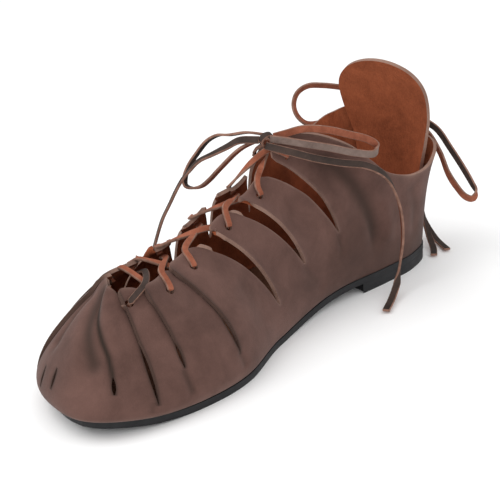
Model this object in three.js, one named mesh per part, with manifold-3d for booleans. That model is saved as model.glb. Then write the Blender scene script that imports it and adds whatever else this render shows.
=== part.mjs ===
import * as THREE from 'three';
import { mergeVertices } from 'three/addons/utils/BufferGeometryUtils.js';
import Module from 'manifold-3d';

// A lace-up sandal for the right foot, in millimetres. +Z is up, the toe points to -Y and the
// inner (medial) side of the foot is at +X. "Along" runs from the heel back to the toe.

// Last
const SOLE_LENGTH = 280;
const BALL_WIDTH = 93;
const HEEL_WIDTH = 62;
const INSTEP_HEIGHT = 72;
const ANKLE_HEIGHT = 103;

// Sole
const OUTSOLE_THICKNESS = 3.6;
const HEEL_LIFT = 6;
const TOE_SPRING = 6;
const SOLE_EDGE_ROUND = 0.7;
const INSOLE_THICKNESS = 2;

// Upper
const WALL = 2.2;
const FEATHER_INSET = 0.8;
const PLEAT_STEP = 1.2;
const OPENING_WIDTH = 13;
const SLIT_WIDTH = 2;
const STRAP_CORNER = 5;
const LACE_HOLE = 4.4;
const LACE_HOLE_INSET = 9;

// Heel flap
const FLAP_HEIGHT = 121;
const FLAP_WIDTH = 61;
const FLAP_THICKNESS = 2.2;

// Lace
const LACE_WIDTH = 4;
const LACE_THICKNESS = 2;

// Clearance where curved pieces meet
const GAP = 0.3;

const wasm = await Module();
wasm.setup();

const FULL_TURN = 2 * Math.PI;
const clamp = THREE.MathUtils.clamp;
const lerp = THREE.MathUtils.lerp;
const radians = THREE.MathUtils.degToRad;

/** A point given across the foot (medial is positive), along it from the heel, and up. */
function place(across, along, up = 0) {
  return new THREE.Vector3(across, -along, up);
}

/** Turns rows of numbers into objects with the named columns. */
function table(columns, rows) {
  return rows.map((row) => Object.fromEntries(columns.map((name, i) => [name, row[i]])));
}

// Solids

function toSolid(geometry) {
  const bare = geometry.clone();
  bare.deleteAttribute('normal');
  bare.deleteAttribute('uv');
  const merged = mergeVertices(bare, 1e-4);
  return new wasm.Manifold(new wasm.Mesh({
    numProp: 3,
    vertProperties: Float32Array.from(merged.attributes.position.array),
    triVerts: Uint32Array.from(merged.index.array),
  }));
}

function toGeometry(solid) {
  const mesh = solid.getMesh();
  const geometry = new THREE.BufferGeometry();
  geometry.setAttribute('position', new THREE.BufferAttribute(mesh.vertProperties, 3));
  geometry.setIndex(new THREE.BufferAttribute(mesh.triVerts, 1));
  geometry.computeVertexNormals();
  return geometry;
}

function indexed(points, faces) {
  const geometry = new THREE.BufferGeometry();
  geometry.setAttribute('position', new THREE.Float32BufferAttribute(points.flatMap((p) => p.toArray()), 3));
  geometry.setIndex(faces);
  geometry.computeVertexNormals();
  return geometry;
}

/** Joins closed loops of equal length, one to the next. With `closed` the last meets the first. */
function skin(loops, closed = false) {
  const count = loops[0].length;
  const faces = [];
  const quad = (a, b, c, d) => faces.push(a, b, c, a, c, d);
  const spans = closed ? loops.length : loops.length - 1;
  for (let row = 0; row < spans; row++) {
    const low = row * count;
    const high = ((row + 1) % loops.length) * count;
    for (let k = 0; k < count; k++) {
      const next = (k + 1) % count;
      quad(low + k, low + next, high + next, high + k);
    }
  }
  if (!closed) {
    const top = (loops.length - 1) * count;
    for (let k = 0; k < count / 2 - 1; k++) {
      const far = count - 1 - k;
      quad(k, far, far - 1, k + 1);
      quad(top + k, top + k + 1, top + far - 1, top + far);
    }
  }
  return facingOut(loops.flat(), faces);
}

/** A closed mesh with its faces turned outwards, whichever way round its loops run. */
function facingOut(points, faces) {
  let volume = 0;
  for (let i = 0; i < faces.length; i += 3) {
    const [a, b, c] = [points[faces[i]], points[faces[i + 1]], points[faces[i + 2]]];
    volume += a.dot(b.clone().cross(c));
  }
  return indexed(points, volume < 0 ? faces.reverse() : faces);
}

// Sole outline: one row for each place where the curve of the edge changes. "along" is a share
// of the sole's length, the sideways place a share of the heel's width plus one of the ball's.

const OUTLINE = table(['along', 'ofHeel', 'ofBall'], [
  [0.00, 0.00, 0],
  [0.03, 0.379, 0],
  [0.11, 0.506, 0],
  [0.20, 0.495, 0],
  [0.40, 0.209, 0.139],
  [0.56, 0, 0.347],
  [0.70, 0, 0.483],
  [0.80, 0, 0.483],
  [0.93, 0, 0.381],
  [1.00, 0, 0.190],
  [0.93, 0, -0.298],
  [0.78, 0, -0.481],
  [0.66, 0, -0.517],
  [0.50, 0, -0.455],
  [0.33, -0.283, -0.189],
  [0.18, -0.521, 0],
  [0.10, -0.481, 0],
  [0.03, -0.365, 0],
]);

const across = (row) => row.ofHeel * HEEL_WIDTH + row.ofBall * BALL_WIDTH;

const outline = new THREE.CatmullRomCurve3(
  OUTLINE.map((row) => place(across(row), row.along * SOLE_LENGTH)), true, 'centripetal');
outline.arcLengthDivisions = 800;

const TOE_SHARE = toeShare();

/** The share of the outline's length at which it reaches the toe's tip. */
function toeShare() {
  const steps = 400;
  let best = 0;
  for (let i = 0; i < steps; i++) {
    if (outline.getPointAt(i / steps).y < outline.getPointAt(best / steps).y) best = i;
  }
  return best / steps;
}

/** The share of the outline's length at a distance along the foot, on the medial (1) or lateral (-1) side. */
function shareAt(side, along) {
  let low = side > 0 ? 0 : 1;
  let high = TOE_SHARE;
  for (let i = 0; i < 40; i++) {
    const middle = (low + high) / 2;
    if (-outline.getPointAt(middle).y < along) low = middle;
    else high = middle;
  }
  return (low + high) / 2;
}

/** A point of the outline, moved inwards. */
function edgePoint(share, inset) {
  const wrapped = ((share % 1) + 1) % 1;
  const tangent = outline.getTangentAt(wrapped);
  const outward = new THREE.Vector3(-tangent.y, tangent.x, 0).normalize().negate();
  const point = outline.getPointAt(wrapped);
  const middle = place(0, SOLE_LENGTH / 2);
  if (outward.dot(point.clone().sub(middle)) < 0) outward.negate();
  return { point: point.addScaledVector(outward, -inset), outward };
}

// Sole side view: heel lift, arch and toe spring, as shares of the sole's length

const ARCH_REAR = 0.29;
const ARCH_FRONT = 0.55;
const SPRING_START = 0.80;
const HEEL_BREAST = 0.275;
const HEEL_BREAST_HOLLOW = 0.018;

function soleBottom(along) {
  const share = along / SOLE_LENGTH;
  const arch = 1 - THREE.MathUtils.smoothstep(share, ARCH_REAR, ARCH_FRONT);
  const spring = Math.max(0, (share - SPRING_START) / (1 - SPRING_START)) ** 2;
  return HEEL_LIFT * arch + TOE_SPRING * spring;
}

const soleTop = (along) => soleBottom(along) + OUTSOLE_THICKNESS;

/** A flexed slab inside the outline: one ring for each level, given by its inset and its height. */
function slab(levels, steps = 72) {
  const loops = levels.map(({ inset, height }) => {
    const loop = [];
    for (let k = 0; k < steps; k++) {
      const { point } = edgePoint(k / steps, inset);
      loop.push(point.setZ(height(-point.y)));
    }
    return loop;
  });
  return skin(loops);
}

function outsoleGeometry() {
  return slab([
    { inset: SOLE_EDGE_ROUND, height: soleBottom },
    { inset: 0, height: (along) => soleBottom(along) + SOLE_EDGE_ROUND },
    { inset: 0, height: (along) => soleTop(along) },
  ]);
}

function insoleGeometry() {
  const inset = FEATHER_INSET + WALL + 2 * GAP;
  return slab([
    { inset, height: (along) => soleTop(along) + GAP },
    { inset, height: (along) => soleTop(along) + GAP + INSOLE_THICKNESS },
  ]);
}

function heelGeometry() {
  const breast = HEEL_BREAST * SOLE_LENGTH;
  const steps = 26;
  const medial = shareAt(1, breast);
  const lateral = shareAt(-1, breast) - 1;
  const points = [];
  for (let k = 0; k <= steps; k++) {
    const { point } = edgePoint(lerp(lateral, medial, k / steps), SOLE_EDGE_ROUND);
    points.push(new THREE.Vector2(point.x, point.y));
  }
  const [from, to] = [points[steps], points[0]];
  const hollow = HEEL_BREAST_HOLLOW * SOLE_LENGTH;
  for (let k = 1; k < 8; k++) {
    const share = k / 8;
    points.push(new THREE.Vector2(lerp(from.x, to.x, share), from.y + hollow * Math.sin(Math.PI * share)));
  }
  return new THREE.ExtrudeGeometry(new THREE.Shape(points), { depth: HEEL_LIFT - GAP, bevelEnabled: false });
}

// Upper. Each row is one line of the wall, from the feather edge at the sole up to the top edge.
// "foot" is where it leaves the sole, along the foot, and "along" where it reaches the top edge.
// Heights are shares of the instep's and the ankle's, "turn" is the angle by which the wall leans
// in at the top, and "belly" how far it swells out on the way.

const UPPER = table(
  ['side', 'foot', 'ofHeel', 'ofBall', 'along', 'ofInstep', 'ofAnkle', 'turn', 'full', 'belly'], [
    [1, 0.000, 0, 0, -0.011, 0, 0.757, 20, 2.2, 0.011],
    [1, 0.030, 0.468, 0, 0.009, 0, 0.689, 20, 2.2, 0.011],
    [1, 0.107, 0.573, 0, 0.075, 0, 0.592, 20, 2.2, 0.011],
    [1, 0.165, 0.565, 0, 0.150, 0, 0.602, 22, 2.2, 0.011],
    [1, 0.205, 0.556, 0, 0.221, 0, 0.680, 27, 2.2, 0.013],
    [1, 0.232, 0.540, 0, 0.271, 0, 0.786, 35, 2.1, 0.016],
    [1, 0.256, 0.468, 0, 0.321, 0, 0.893, 45, 2.0, 0.022],
    [1, 0.274, 0.306, 0, 0.371, 0, 0.966, 58, 2.0, 0.027],
    [1, 0.290, 0.145, 0, 0.414, 0, 0.981, 68, 1.9, 0.032],
    [1, 0.319, 0, 0.067, 0.471, 0, 0.840, 78, 1.8, 0.038],
    [1, 0.431, 0, 0.075, 0.575, 1.049, 0, 82, 1.7, 0.043],
    [1, 0.545, 0, 0.086, 0.671, 0.903, 0, 84, 1.7, 0.043],
    [1, 0.717, 0, 0.097, 0.752, 0.799, 0, 80, 1.7, 0.038],
    [1, 0.839, 0, 0.140, 0.829, 0.778, 0, 75, 1.5, 0.048],
    [1, 0.902, 0, 0.054, 0.861, 0.792, 0, 65, 1.4, 0.059],
    [1, 0.966, 0, 0.011, 0.864, 0.799, 0, 60, 1.4, 0.075],
    [-1, 0.992, 0, -0.032, 0.855, 0.799, 0, 60, 1.4, 0.086],
    [-1, 0.974, 0, -0.065, 0.843, 0.799, 0, 60, 1.4, 0.097],
    [-1, 0.934, 0, -0.091, 0.829, 0.792, 0, 60, 1.4, 0.097],
    [-1, 0.860, 0, -0.108, 0.811, 0.785, 0, 65, 1.4, 0.091],
    [-1, 0.680, 0, -0.091, 0.729, 0.819, 0, 75, 1.5, 0.075],
    [-1, 0.540, 0, -0.086, 0.664, 0.875, 0, 80, 1.6, 0.065],
    [-1, 0.450, 0, -0.075, 0.568, 1.028, 0, 80, 1.7, 0.059],
    [-1, 0.345, 0, -0.067, 0.464, 0, 0.816, 75, 1.8, 0.054],
    [-1, 0.307, -0.145, 0, 0.400, 0, 0.932, 65, 2.0, 0.043],
    [-1, 0.270, -0.371, 0, 0.332, 0, 0.874, 50, 2.0, 0.032],
    [-1, 0.225, -0.548, 0, 0.207, 0, 0.786, 25, 2.2, 0.016],
    [-1, 0.107, -0.565, 0, 0.075, 0, 0.825, 20, 2.2, 0.011],
    [-1, 0.030, -0.468, 0, 0.011, 0, 0.835, 20, 2.2, 0.011],
  ]);

/** A smooth curve through one value of each row, closed around the foot. */
function around(values) {
  const shares = seams;
  const count = shares.length;
  const slope = shares.map((share, i) => {
    const before = (i + count - 1) % count;
    const after = (i + 1) % count;
    const spanBefore = (share - shares[before] + 1) % 1;
    const spanAfter = (shares[after] - share + 1) % 1;
    const rise = (values[after] - values[i]) / spanAfter;
    const fall = (values[i] - values[before]) / spanBefore;
    return (rise * spanBefore + fall * spanAfter) / (spanBefore + spanAfter);
  });
  return (share) => {
    const wrapped = ((share % 1) + 1) % 1;
    let i = count - 1;
    while (i > 0 && shares[i] > wrapped) i--;
    const next = (i + 1) % count;
    const span = (shares[next] - shares[i] + 1) % 1;
    const t = (wrapped - shares[i]) / span;
    const [a, b] = [values[i], values[next]];
    return a * (1 + 2 * t) * (1 - t) ** 2 + b * t * t * (3 - 2 * t)
      + span * t * (1 - t) * (slope[i] * (1 - t) - slope[next] * t);
  };
}

const seams = UPPER.map((row) => (row.foot === 0 ? 0 : shareAt(row.side, Math.min(row.foot, 1) * SOLE_LENGTH)));
const topAcross = around(UPPER.map(across));
const topAlong = around(UPPER.map((row) => row.along * SOLE_LENGTH));
const topHeight = around(UPPER.map((row) => row.ofInstep * INSTEP_HEIGHT + row.ofAnkle * ANKLE_HEIGHT));
const turn = around(UPPER.map((row) => row.turn));
const full = around(UPPER.map((row) => row.full));
const belly = around(UPPER.map((row) => row.belly * BALL_WIDTH));

/** The wall's outer face before the pleats, at a share of the way round and a share of the way up. */
function wall(share, up) {
  const { point: foot, outward } = edgePoint(share, FEATHER_INSET);
  foot.z = soleTop(-foot.y) + GAP;
  const top = place(topAcross(share), topAlong(share), topHeight(share));
  const whole = radians(turn(share));
  const angle = whole * clamp(up, 0, 1);
  const power = 2 / full(share);
  const level = (turned) => 1 - Math.max(Math.cos(turned), 0) ** power;
  const inwards = level(angle) / level(whole);
  const rise = (Math.sin(angle) / Math.sin(whole)) ** power;
  const swell = belly(share) * Math.sin(Math.PI * clamp(up, 0, 1) ** 0.6);
  return new THREE.Vector3(
    lerp(foot.x, top.x, inwards) + outward.x * swell,
    lerp(foot.y, top.y, inwards) + outward.y * swell,
    lerp(foot.z, top.z, rise));
}

/** The wall's outward normal. */
function wallNormal(share, up) {
  const step = 0.002;
  const low = clamp(up - 0.02, 0, 0.96);
  const climb = wall(share, low + 0.04).sub(wall(share, low));
  const round = wall(share + step, up).sub(wall(share - step, up));
  return climb.cross(round).normalize();
}

// Slits and openings: each lies on one row of the upper, between two shares of the way up

const SLITS = table(['row', 'from', 'to', 'width'], [
  [9, 0.35, 1, OPENING_WIDTH * 0.75],
  [10, 0.33, 1, OPENING_WIDTH],
  [11, 0.26, 1, OPENING_WIDTH],
  [12, 0.23, 0.50, SLIT_WIDTH],
  [13, 0.36, 0.54, SLIT_WIDTH],
  [14, 0.19, 0.62, SLIT_WIDTH],
  [15, 0.33, 0.46, SLIT_WIDTH],
  [16, 0.28, 0.45, SLIT_WIDTH],
  [17, 0.21, 0.40, SLIT_WIDTH],
  [18, 0.21, 0.40, SLIT_WIDTH],
  [19, 0.16, 0.35, SLIT_WIDTH],
  [20, 0.42, 1, OPENING_WIDTH * 0.8],
  [21, 0.40, 1, OPENING_WIDTH],
  [22, 0.40, 1, OPENING_WIDTH],
  [23, 0.40, 1, OPENING_WIDTH * 0.75],
]);

/** Rows at which one pleat of the toe ends over the next */
const PLEATS = [12, 13, 14, 15, 16, 17, 18, 19];

/** How far a pleat stands over the wall at its front edge. */
function pleat(share, up) {
  for (let i = 0; i < PLEATS.length; i++) {
    const start = seams[PLEATS[i]];
    const before = seams[PLEATS[i] - 1];
    if (share <= start && share > before) {
      const near = (share - before) / (start - before);
      return PLEAT_STEP * near ** 2 * clamp((up - 0.25) / 0.4, 0, 1);
    }
  }
  return 0;
}

// The wall as one solid: rings up the outer face, then down the inner

const RINGS = 9;
const COLUMN_PITCH = 9;
const PLEAT_EDGE = 0.5;

/** Shares of the way round at which the wall has a column of corners. */
function columns() {
  const length = outline.getLength();
  const shares = [];
  seams.forEach((start, i) => {
    const end = i + 1 < seams.length ? seams[i + 1] : 1;
    const count = Math.max(2, Math.round(((end - start) * length) / COLUMN_PITCH));
    if (PLEATS.includes(i)) shares.push(start - PLEAT_EDGE / length);
    for (let k = 0; k < count; k++) shares.push(lerp(start, end, k / count) + (k === 0 ? 1e-6 : 0));
  });
  return shares;
}

function upperGeometry() {
  const shares = columns();
  const rings = [];
  for (let row = 0; row < RINGS; row++) {
    const up = row / (RINGS - 1);
    rings.push(shares.map((share) => wall(share, up).addScaledVector(wallNormal(share, up), pleat(share, up))));
  }
  for (let row = RINGS - 1; row >= 0; row--) {
    const up = row / (RINGS - 1);
    rings.push(shares.map((share) => {
      const outer = wall(share, up);
      const inner = outer.clone().addScaledVector(wallNormal(share, up), -WALL);
      if (row === 0) inner.z = outer.z;
      return inner;
    }));
  }
  return skin(rings, true);
}

/** Half the width of a slit at a share of its length, as a share of its full width. */
function slitShape(share, open) {
  if (!open) return 0.5 * Math.sin(Math.PI * lerp(0.06, 0.94, share));
  return 0.04 + 0.46 * share ** 0.8;
}

/** The solid that a slit takes out of the wall. */
function slitSolid({ row, from, to, width }) {
  const share = seams[row];
  const open = to === 1;
  const steps = 6;
  const reach = WALL + PLEAT_STEP;
  const loops = [];
  for (let k = 0; k <= steps; k++) {
    const t = k / steps;
    const up = lerp(from, to, t);
    const middle = wall(share, up);
    const round = wall(share + 0.001, up).distanceTo(wall(share - 0.001, up)) / 0.002;
    const normal = wallNormal(share, up);
    const corner = open ? STRAP_CORNER * Math.max(0, (t - 0.86) / 0.14) ** 2 : 0;
    const half = (slitShape(t, open) * width + corner) / round;
    const loop = [-1, 1].map((side) => wall(share + side * half, up));
    const inner = loop.map((point) => point.clone().addScaledVector(normal, -reach));
    const outer = loop.map((point) => point.clone().addScaledVector(normal, reach));
    loops.push([inner[0], inner[1], outer[1], outer[0]]);
    if (open && k === steps) {
      const past = middle.sub(wall(share, up - 0.05)).normalize().multiplyScalar(STRAP_CORNER);
      loops.push(loops[k].map((point) => point.clone().add(past)));
    }
  }
  return skin(loops);
}

// Lace holes: each lies between two rows of the upper, at a share of the way from one to the next

const LACE_HOLES = table(['side', 'rear', 'front', 'between'], [
  [1, 13, 14, 0.75],
  [1, 12, 13, 0.50],
  [1, 11, 12, 0.68],
  [1, 10, 11, 0.52],
  [1, 9, 10, 0.40],
  [1, 8, 9, 0.50],
  [-1, 20, 19, 0.75],
  [-1, 20, 19, 0.30],
  [-1, 21, 20, 0.50],
  [-1, 22, 21, 0.50],
  [-1, 23, 22, 0.45],
  [-1, 24, 23, 0.50],
]);

/** Where a lace hole comes out of the wall, and which way it faces. */
function laceHole({ rear, front, between }) {
  const share = lerp(seams[rear], seams[front], between);
  const top = wall(share, 1);
  let up = 1;
  while (wall(share, up).distanceTo(top) < LACE_HOLE_INSET) up -= 0.005;
  return { point: wall(share, up), normal: wallNormal(share, up), share, up };
}

const HOLE_SIDES = 6;

/** The round rod that a lace hole takes out of the wall. */
function holeSolid(hole) {
  const { point, normal } = laceHole(hole);
  const depth = 2 * (WALL + 2 * PLEAT_STEP);
  const rod = new THREE.CylinderGeometry(LACE_HOLE / 2, LACE_HOLE / 2, depth, HOLE_SIDES);
  rod.applyQuaternion(new THREE.Quaternion().setFromUnitVectors(new THREE.Vector3(0, 1, 0), normal));
  return toSolid(rod.translate(point.x, point.y, point.z));
}

// Heel notch: the two quarters part at the back of the heel, under the bow that ties them

const NOTCH_DEPTH = 24;
const NOTCH_WIDTH = 5;

function notchSolid() {
  const top = wall(0, 1);
  const reach = HEEL_WIDTH / 3;
  const notch = new THREE.Shape([
    new THREE.Vector2(0, -NOTCH_DEPTH),
    new THREE.Vector2(NOTCH_WIDTH / 2, -NOTCH_DEPTH / 3),
    new THREE.Vector2(NOTCH_WIDTH, WALL),
    new THREE.Vector2(-NOTCH_WIDTH, WALL),
    new THREE.Vector2(-NOTCH_WIDTH / 2, -NOTCH_DEPTH / 3),
  ]);
  const prism = new THREE.ExtrudeGeometry(notch, { depth: reach, bevelEnabled: false });
  return toSolid(prism.rotateX(Math.PI / 2).translate(0, top.y + reach / 2, top.z));
}

// Heel flap: rows up its height, with half its width, its place along the foot at the middle and
// how far its edges curl forward, as shares of the flap's height and width.

const FLAP = table(['up', 'half', 'along', 'curl'], [
  [0.00, 0.26, 0.032, 0.080],
  [0.20, 0.31, 0.028, 0.120],
  [0.42, 0.37, 0.032, 0.110],
  [0.56, 0.42, 0.046, 0.080],
  [0.70, 0.485, 0.074, 0.070],
  [0.82, 0.50, 0.108, 0.060],
  [0.92, 0.45, 0.145, 0.045],
  [0.97, 0.32, 0.170, 0.025],
  [1.00, 0.12, 0.186, 0.005],
]);

const FLAP_SHIFT = 2;
const FLAP_STRIPS = 10;

function flapGeometry() {
  const base = soleTop(0) + INSOLE_THICKNESS + 2 * GAP;
  const loops = FLAP.map((row) => {
    const face = (side, offset) => {
      const half = row.half * FLAP_WIDTH;
      const curl = row.curl * FLAP_WIDTH;
      const slope = (2 * curl * side) / half;
      const out = new THREE.Vector2(-slope, 1).normalize().multiplyScalar(offset);
      return place(FLAP_SHIFT + side * half + out.x, row.along * FLAP_HEIGHT + curl * side ** 2 + out.y,
        lerp(base, FLAP_HEIGHT, row.up));
    };
    const sides = Array.from({ length: FLAP_STRIPS + 1 }, (_, k) => (2 * k) / FLAP_STRIPS - 1);
    return [...sides.map((side) => face(side, 0)), ...sides.reverse().map((side) => face(side, FLAP_THICKNESS))];
  });
  return skin(loops);
}

// Lace

const LACE_SIDES = 8;
const LACE_RADIUS = (LACE_WIDTH + LACE_THICKNESS) / 4;
const LACE_STEP = 8;

/** A round strand along a smooth curve through the given places. */
function strand(points) {
  const path = new THREE.CatmullRomCurve3(points, false, 'centripetal');
  const section = new THREE.Shape(Array.from({ length: LACE_SIDES }, (_, k) => {
    const angle = (FULL_TURN * k) / LACE_SIDES;
    return new THREE.Vector2(LACE_RADIUS * Math.cos(angle), LACE_RADIUS * Math.sin(angle));
  }));
  const steps = Math.max(3, Math.round(path.getLength() / LACE_STEP));
  return new THREE.ExtrudeGeometry(section, { steps, extrudePath: path, bevelEnabled: false });
}

/** The lace's way out of one hole and over the edge of the throat, on towards the other hole. */
function overEdge(hole, other) {
  const { point, normal, share } = laceHole(hole);
  const lift = LACE_RADIUS + 4 * GAP;
  const drift = laceHole(other).point.sub(point).setX(0);
  const half = wall(share, (1 + laceHole(hole).up) / 2).addScaledVector(normal, lift + LACE_RADIUS / 2);
  const edge = wall(share, 1).addScaledVector(normal, lift + LACE_RADIUS / 2);
  return [
    point.addScaledVector(normal, lift),
    half.addScaledVector(drift, 0.1),
    edge.addScaledVector(drift, 0.25),
  ];
}

// Where the last strand comes up to the knot, as [across, along, up]
const TIE = [-1.5, 121, 94.8];

/** The lace's crossings over the throat and its strand up to the knot, joined where they meet. */
function crossingsGeometry() {
  const count = LACE_HOLES.length / 2;
  let solid = null;
  for (let i = 0; i + 1 < count; i++) {
    for (const [from, to] of [[i, count + i + 1], [count + i, i + 1]]) {
      const [start, end] = [LACE_HOLES[from], LACE_HOLES[to]];
      const piece = toSolid(strand([...overEdge(start, end), ...overEdge(end, start).reverse()]));
      solid = solid ? solid.add(piece) : piece;
    }
  }
  const last = LACE_HOLES[2 * count - 1];
  solid = solid.add(toSolid(strand([...overEdge(last, last), place(...TIE)])));
  return toGeometry(solid.subtract(toSolid(knotGeometry(KNOTS.front_lace_knot, GAP))));
}

// Routes of the lace's free stretches, as [across, along, up]

const ROUTES = {
  front_lace_loop_medial: [
    [3.9, 119.5, 100.1], [11, 118, 102.5], [18, 112.5, 104.5], [26, 103.5, 103], [32, 91, 98], [36.5, 80, 93],
    [39, 76, 89], [41, 81, 86.5], [38.5, 95, 90], [31, 109, 95.5], [21, 118, 98.5], [12, 122.5, 100],
    [4.4, 122.9, 99.7],
  ],
  front_lace_loop_lateral: [
    [-3.6, 119.8, 100.4], [-12, 123, 101], [-22, 126, 99], [-31, 126, 97.5], [-37, 128, 94], [-43, 130, 87],
    [-46.5, 134, 80], [-47.5, 137, 74], [-46.5, 138, 69.5], [-43.5, 136, 68], [-39, 134, 69], [-32, 134, 74],
    [-24, 132.5, 82], [-14, 127, 92.5], [-4.2, 122.3, 98],
  ],
  front_lace_end_medial: [
    [2.2, 124.2, 95.9], [9, 127.2, 96.8], [18, 124, 95], [28, 115, 90.5], [36.5, 104, 86.5], [41, 91, 82.5],
    [43, 78, 75], [41.5, 66, 64], [41.5, 58, 47], [42, 57, 30], [43, 61, 18], [46, 69, 8], [50, 80, 3.4],
    [55, 93, 2.2],
  ],
  front_lace_end_lateral: [
    [-2, 125.4, 98.9], [-13, 128.5, 97.8], [-22, 129.5, 93], [-29, 134, 89], [-34, 139, 86], [-38, 142.5, 81],
    [-41, 146, 76], [-43.5, 149, 70], [-46, 152, 63], [-48.5, 156, 55], [-51.5, 159, 44], [-54, 161, 34],
    [-56.5, 161, 24], [-57.5, 160, 14], [-57, 158, 6],
  ],
  heel_lace_loop_lateral: [
    [-3.6, -5, 79.1], [-12, -8.5, 85], [-26, -8, 93], [-40, 2, 96], [-48, 10, 98], [-53, 19, 99], [-55, 27, 96],
    [-54, 32, 90], [-51, 33, 84], [-47, 30, 79], [-44, 20, 77], [-39, 7, 78], [-30, -4, 79.5], [-16, -8, 78],
    [-4.3, -5.2, 75.4],
  ],
  heel_lace_loop_medial: [
    [3.9, -5, 78.7], [12, -8.8, 79], [22, -9.5, 75], [32, -9.5, 64], [41, -9, 53.5], [48, -8, 45], [52, -6, 41],
    [51, -3.5, 37.5], [47, -2, 38.5], [41, -2, 43.5], [35, -2, 51], [27.5, -4.5, 62.5], [15, -8.5, 72.5],
    [4.3, -5.2, 75.2],
  ],
  heel_lace_end_medial: [
    [1.6, -5.8, 72.7], [3.5, -8.5, 62], [6, -11, 44], [9, -11, 26], [14, -9.5, 12], [21, -4.5, 4.5], [27, 1.5, 2],
    [32, 9, 1.7],
  ],
  heel_lace_end_lateral: [
    [-1.8, -6, 72.9], [-3.5, -10.5, 62], [-1.5, -15.5, 42], [3, -17, 24], [9.5, -17, 10], [18, -13.5, 3.2],
    [26, -8.5, 1.8], [34, -3, 1.7],
  ],
};

const KNOTS = {
  front_lace_knot: { at: [0, 121.5, 98.5], size: [4.6, 4.2, 3.6] },
  heel_lace_knot: { at: [0, -4.6, 76.5], size: [4.2, 3.6, 4] },
};

/** A knot, swollen by `more` on every side. */
function knotGeometry({ at, size }, more = 0) {
  const ball = new THREE.IcosahedronGeometry(1, 1).scale(...size.map((half) => half + more));
  const centre = place(...at);
  return ball.translate(centre.x, centre.y, centre.z);
}

const parts = new THREE.Group();

const RUBBER = { color: 0x2b2a2a, roughness: 0.75, metalness: 0 };
const LEATHER = { color: 0x6a4a41, roughness: 0.85, metalness: 0 };
const FLESH_SIDE = { color: 0x96543a, roughness: 0.9, metalness: 0 };
const THONG = { color: 0x8a6a5c, roughness: 0.8, metalness: 0 };

function add(name, geometry, finish) {
  const mesh = new THREE.Mesh(geometry, new THREE.MeshStandardMaterial(finish));
  mesh.name = name;
  parts.add(mesh);
}

function upperSolid() {
  let solid = toSolid(upperGeometry());
  for (const slit of SLITS) solid = solid.subtract(toSolid(slitSolid(slit)));
  for (const hole of LACE_HOLES) solid = solid.subtract(holeSolid(hole));
  return solid.subtract(notchSolid());
}

add('outsole', outsoleGeometry(), RUBBER);
add('heel', heelGeometry(), RUBBER);
add('insole', insoleGeometry(), FLESH_SIDE);
add('upper', toGeometry(upperSolid()), LEATHER);
add('heel_flap', flapGeometry(), FLESH_SIDE);
add('front_lace_crossings', crossingsGeometry(), THONG);
for (const [name, knot] of Object.entries(KNOTS)) add(name, knotGeometry(knot), THONG);
for (const [name, route] of Object.entries(ROUTES)) {
  const knot = KNOTS[name.startsWith('heel') ? 'heel_lace_knot' : 'front_lace_knot'];
  const whole = toSolid(strand(route.map((stop) => place(...stop))));
  add(name, toGeometry(whole.subtract(toSolid(knotGeometry(knot, GAP)))), THONG);
}

// The origin is under the middle of the shoe, without its free lace ends
const body = new THREE.Box3();
for (const mesh of parts.children) {
  if (!(mesh.name in ROUTES) && !(mesh.name in KNOTS)) body.expandByObject(mesh);
}
const middle = body.getCenter(new THREE.Vector3());
parts.position.set(-middle.x, -middle.y, -body.min.z);

export default parts;
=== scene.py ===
"""A lace-up roman sandal for the right foot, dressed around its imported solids.

Shapes are worked out in millimetres on the last, as across the foot (the inner side is
positive), along it from the heel's back, and up. They are put into the frame, in metres, when a
piece is made.
"""

from __future__ import annotations

import logging
import math
from dataclasses import dataclass, field
from enum import Enum

import bmesh
import bpy
import numpy as np
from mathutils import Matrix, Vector

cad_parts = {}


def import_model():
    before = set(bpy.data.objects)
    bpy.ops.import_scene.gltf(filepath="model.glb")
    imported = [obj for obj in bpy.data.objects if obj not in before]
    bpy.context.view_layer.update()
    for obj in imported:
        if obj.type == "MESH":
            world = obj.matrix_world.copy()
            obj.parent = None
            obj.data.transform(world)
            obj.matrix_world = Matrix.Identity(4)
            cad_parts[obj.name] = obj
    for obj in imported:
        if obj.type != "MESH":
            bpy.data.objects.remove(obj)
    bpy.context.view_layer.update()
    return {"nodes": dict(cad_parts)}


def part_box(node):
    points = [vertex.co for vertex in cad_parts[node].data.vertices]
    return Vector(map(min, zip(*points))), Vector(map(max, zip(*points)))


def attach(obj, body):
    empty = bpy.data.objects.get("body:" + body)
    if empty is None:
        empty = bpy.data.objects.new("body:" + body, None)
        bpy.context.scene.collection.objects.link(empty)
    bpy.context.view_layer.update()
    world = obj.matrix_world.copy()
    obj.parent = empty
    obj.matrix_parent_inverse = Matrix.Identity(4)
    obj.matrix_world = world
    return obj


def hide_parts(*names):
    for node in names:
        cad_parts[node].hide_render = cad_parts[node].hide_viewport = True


LOG = logging.getLogger("sandal")
MM = 0.001


def smooth(low: float, high: float, value: np.ndarray | float) -> np.ndarray | float:
    """A soft step from 0 at low to 1 at high."""
    share = np.clip((value - low) / (high - low), 0.0, 1.0)
    return share * share * (3.0 - 2.0 * share)


def unit(vectors: np.ndarray) -> np.ndarray:
    """The vectors, each made one long."""
    return vectors / np.maximum(np.linalg.norm(vectors, axis=-1, keepdims=True), 1e-12)


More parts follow.
